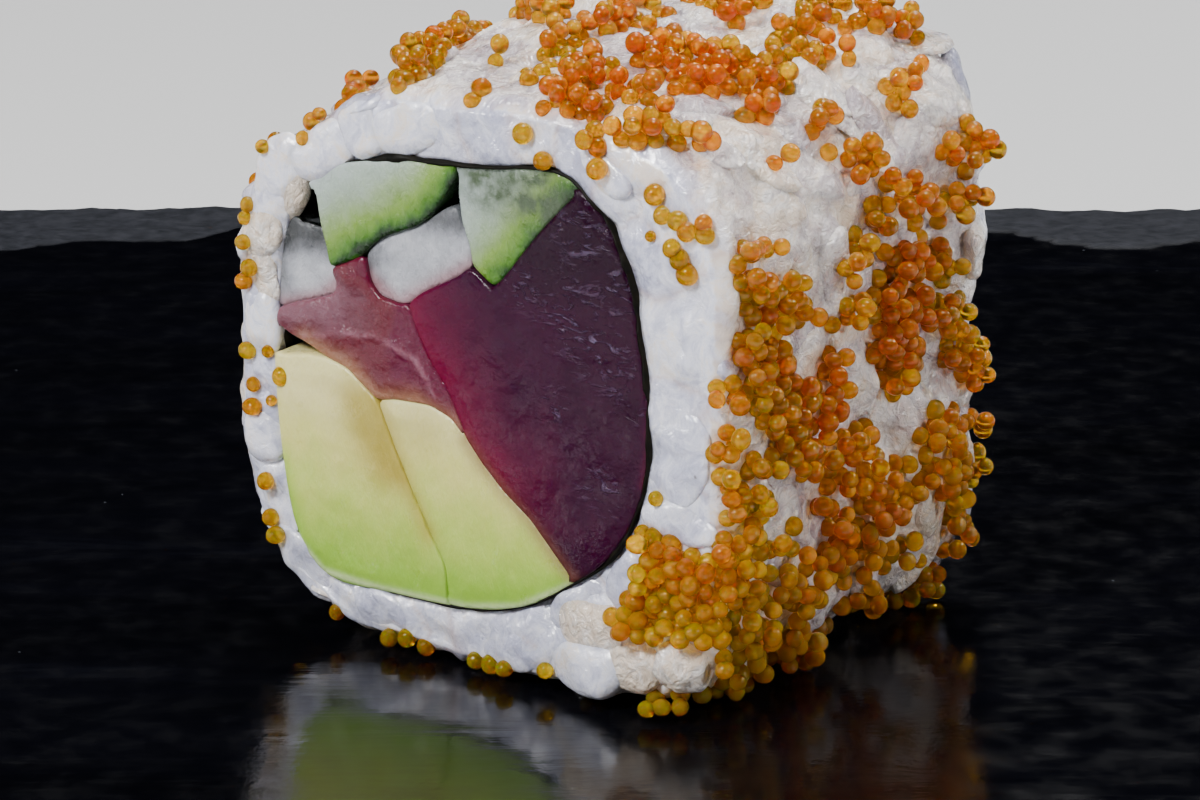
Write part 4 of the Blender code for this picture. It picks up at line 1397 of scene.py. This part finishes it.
def build_fillings():
    """All the fillings, with the marks on their cut faces that the looks colour them by."""
    avocado, cucumber, pale = avocado_look(), cucumber_look(), cucumber_pale_look()

    def rind(points):
        outside = np.exp(-gap_to(points, AVOCADO_OUTSIDE) / 0.8)
        rise = clipped((19.0 - points[:, 2]) / 13.0)
        return 0.64 * rise + 0.34 * outside

    # Painted shade in the fold between the two avocado pieces: a darker tan band along it, wider on the
    # left piece, and a patch at its top on the right piece.
    def fold_shade_left(points):
        return clipped(0.9 * near(AVOCADO_SHADE_BAND, 1.7)(points) + 0.7 * near(AVOCADO_FOLD, 0.9)(points))

    def fold_shade_right(points):
        return 0.55 * near(AVOCADO_FOLD, 0.8)(points) + 0.30 * spots(((-4.6, 16.4, 2.4),))(points)

    # Along the base's lip: a raised ridge, and a painted highlight where the bevel catches the light.
    def lip_ridge_and_highlight(points):
        return np.exp(-(((gap_to(points, AVOCADO_BASE) - 0.40) / 0.26) ** 2))

    def red(points):
        inner = np.exp(-gap_to(points, TUNA_RED) / 4.2)
        dark = 0.16 * clipped((points[:, 2] - 26.5) / 4.0)
        return 0.66 * inner + 0.40 * near(TUNA_EDGE, 0.6)(points) + 0.10 - dark

    def paleness(points):
        above = clipped((points[:, 2] - 21.6) / 1.2)
        left = clipped((-4.5 - points[:, 0]) / 8.0)
        stem = clipped((points[:, 2] - 24.8) / 1.5)
        by_red = np.exp(-gap_to(points, TUNA_RED) / 3.2)
        return 0.24 + 0.60 * above * left + 0.22 * left - 0.45 * stem - 0.48 * by_red

    def thin_left(points):
        left = clipped((-14.9 - points[:, 0]) / 1.5)
        return 0.12 + 0.45 * left + 0.80 * clipped((points[:, 2] - 26.4) / 1.8)

    def thin_middle(points):
        left = clipped((-7.0 - points[:, 0]) / 1.8)
        return 0.18 + 0.45 * left + 0.60 * clipped((points[:, 2] - 29.4) / 1.8)

    for node, fold_shade, proud in (("avocado_left", fold_shade_left, 0.15), ("avocado_right", fold_shade_right, 0.05)):
        # Of these marks, crease_shade and edge carry painted shade and lip_ridge_and_highlight a painted
        # highlight.
        marks = {"rind": rind, "crease_shade": fold_shade, "lip_ridge_and_highlight": lip_ridge_and_highlight, "edge": near(AVOCADO_BY_TUNA, 0.80)}
        build_filling(node, avocado, 0.17, proud, ((5.0, 0.14), (1.4, 0.04)), marks, ((0.12, lip_ridge_and_highlight),))
    for node, line, proud in (
        ("cucumber_left", CUCUMBER_LEFT_SKIN, 0.10),
        ("cucumber_right", CUCUMBER_RIGHT_SKIN, -0.15),
    ):
        marks = {
            "skin": lambda points, line=line: clipped(gap_to(points, line) / 6.0),
            "clear": spots(CUCUMBER_CLEAR if node == "cucumber_right" else ()),
        }
        build_filling(node, cucumber, 0.14, proud, ((2.6, 0.12), (0.9, 0.05)), marks)
    for node, thin, proud in (
        ("cucumber_stick_left", thin_left, -0.45),
        ("cucumber_stick_middle", thin_middle, -0.20),
    ):
        marks = {"thin": thin, "pink": near(STICK_FEET, 0.7)}
        build_filling(node, pale, 0.17, proud, ((2.6, 0.14), (0.9, 0.06)), marks)
    marks = {"red": red, "wet": spots(TUNA_GLINT_SPOTS), "seam": near(TUNA_BY_AVOCADO, 0.60)}
    build_filling("tuna_large", tuna_large_look(), 0.18, 0.15, ((5.0, 0.12), (1.3, 0.04)), marks)
    marks = {"pale": paleness, "film": near(MEMBRANE, 0.22), "seam": near(TUNA_ON_AVOCADO, 0.9)}
    ridge = ((0.07, near(MEMBRANE, 0.35)),)
    build_filling("tuna_small", tuna_small_look(), 0.19, 0.08, ((3.0, 0.14), (1.0, 0.05)), marks, ridge)


# ---- board ----
def build_board(look):
    """The slate: the solid's form with clefts and flaked edges worked into it."""
    square = Matrix.Identity(4)
    points, quads, normals = remeshed("board", 1.5, 1, square)
    drop = BOARD_TOP - points[:, 2]
    inner = (drop < 0.05) & (normals[:, 2] > 0.9)
    clefts = layered_noise(points * [0.35, 1.0, 1.0], 22.0, 3)
    ledges = np.round(clefts * 4.0) / 4.0
    rough = 0.22 * layered_noise(points, 3.0, 3)
    under = points[:, 2] < 0.6
    depth = np.where(inner, 0.14 * (ledges - 1.0) * 0.6 - 0.02, rough)
    depth = np.where(under, 0.0, depth)
    made_points = points + normals * depth[:, None]
    made_points[:, 2] = np.maximum(made_points[:, 2], 0.0)
    broken = np.where(inner | under, 0.0, 1.0)
    made = piece("slate_board", made_points, quads, look, {"broken": broken}, square)
    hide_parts("board")


# ---- floor, lights and camera ----
TARGET = Vector((0.0, -46.0, BOARD_TOP + 18.0)) * MM
CAMERA_AWAY = 280.0 * MM
CAMERA_RISE = math.radians(17.35)


def studio():
    """A plain floor, a faint sky, the lamps and the camera."""
    floor = bpy.data.meshes.new("floor")
    grid = bmesh.new()
    bmesh.ops.create_grid(grid, x_segments=1, y_segments=1, size=3.0)
    grid.to_mesh(floor)
    grid.free()
    look = bpy.data.materials.new("floor")
    look.use_nodes = True
    shader = look.node_tree.nodes["Principled BSDF"]
    shader.inputs["Base Color"].default_value = (0.55, 0.55, 0.55, 1)
    shader.inputs["Roughness"].default_value = 0.8
    floor.materials.append(look)
    ground = added("floor", floor)
    ground.location.z = -0.2 * MM

    world = bpy.data.worlds.new("studio")
    bpy.context.scene.world = world
    world.use_nodes = True
    sky = world.node_tree.nodes["Background"]
    sky.inputs["Color"].default_value = (0.92, 0.95, 1.0, 1.0)
    sky.inputs["Strength"].default_value = 0.003

    for name, place, size, power in (  # place and size in metres
        ("key", (-0.30, -0.42, 0.46), 0.13, 5.6),
        ("top", (0.10, 0.02, 0.60), 0.20, 2.8),
        ("side", (0.55, -0.34, 0.26), 0.06, 1.7),
        ("left", (-0.56, -0.22, 0.20), 0.07, 1.1),
        ("right_back", (0.50, 0.16, 0.44), 0.08, 1.9),
        ("back", (0.06, 0.48, 0.52), 0.10, 1.5),
        ("room", (0.0, 0.9, 1.6), 2.0, 7.0),
    ):
        lamp = bpy.data.lights.new(name, "AREA")
        lamp.energy = power
        lamp.size = size
        light = added(name, lamp)
        light.location = place
        light.rotation_euler = (TARGET - Vector(place)).to_track_quat("-Z", "Y").to_euler()

    camera = bpy.data.cameras.new("camera")
    camera.lens = 126.0
    camera.sensor_width = 36.0
    camera.clip_start = 0.01
    view = added("camera", camera)
    back = Vector((0.0, -math.cos(CAMERA_RISE), math.sin(CAMERA_RISE)))
    view.location = TARGET + CAMERA_AWAY * back
    view.rotation_euler = (-back).to_track_quat("-Z", "Y").to_euler()
    bpy.context.scene.camera = view


build_board(slate_look())
RICE = rice_look("rice")
CORE = rice_core()
GROUND = [CORE[:2], build_rice(RICE, CORE), build_end_grains(RICE)]
build_nori(nori_look())
build_fillings()
ROE = (
    roe_look("roe_amber", (0.76, 0.410, 0.001), (1.0, 0.60, 0.003)),
    roe_look("roe_gold", (0.82, 0.370, 0.001), (1.0, 0.53, 0.003)),
    roe_look("roe_orange", (0.88, 0.300, 0.001), (1.0, 0.44, 0.003)),
)
build_roe(ROE, GROUND)
studio()
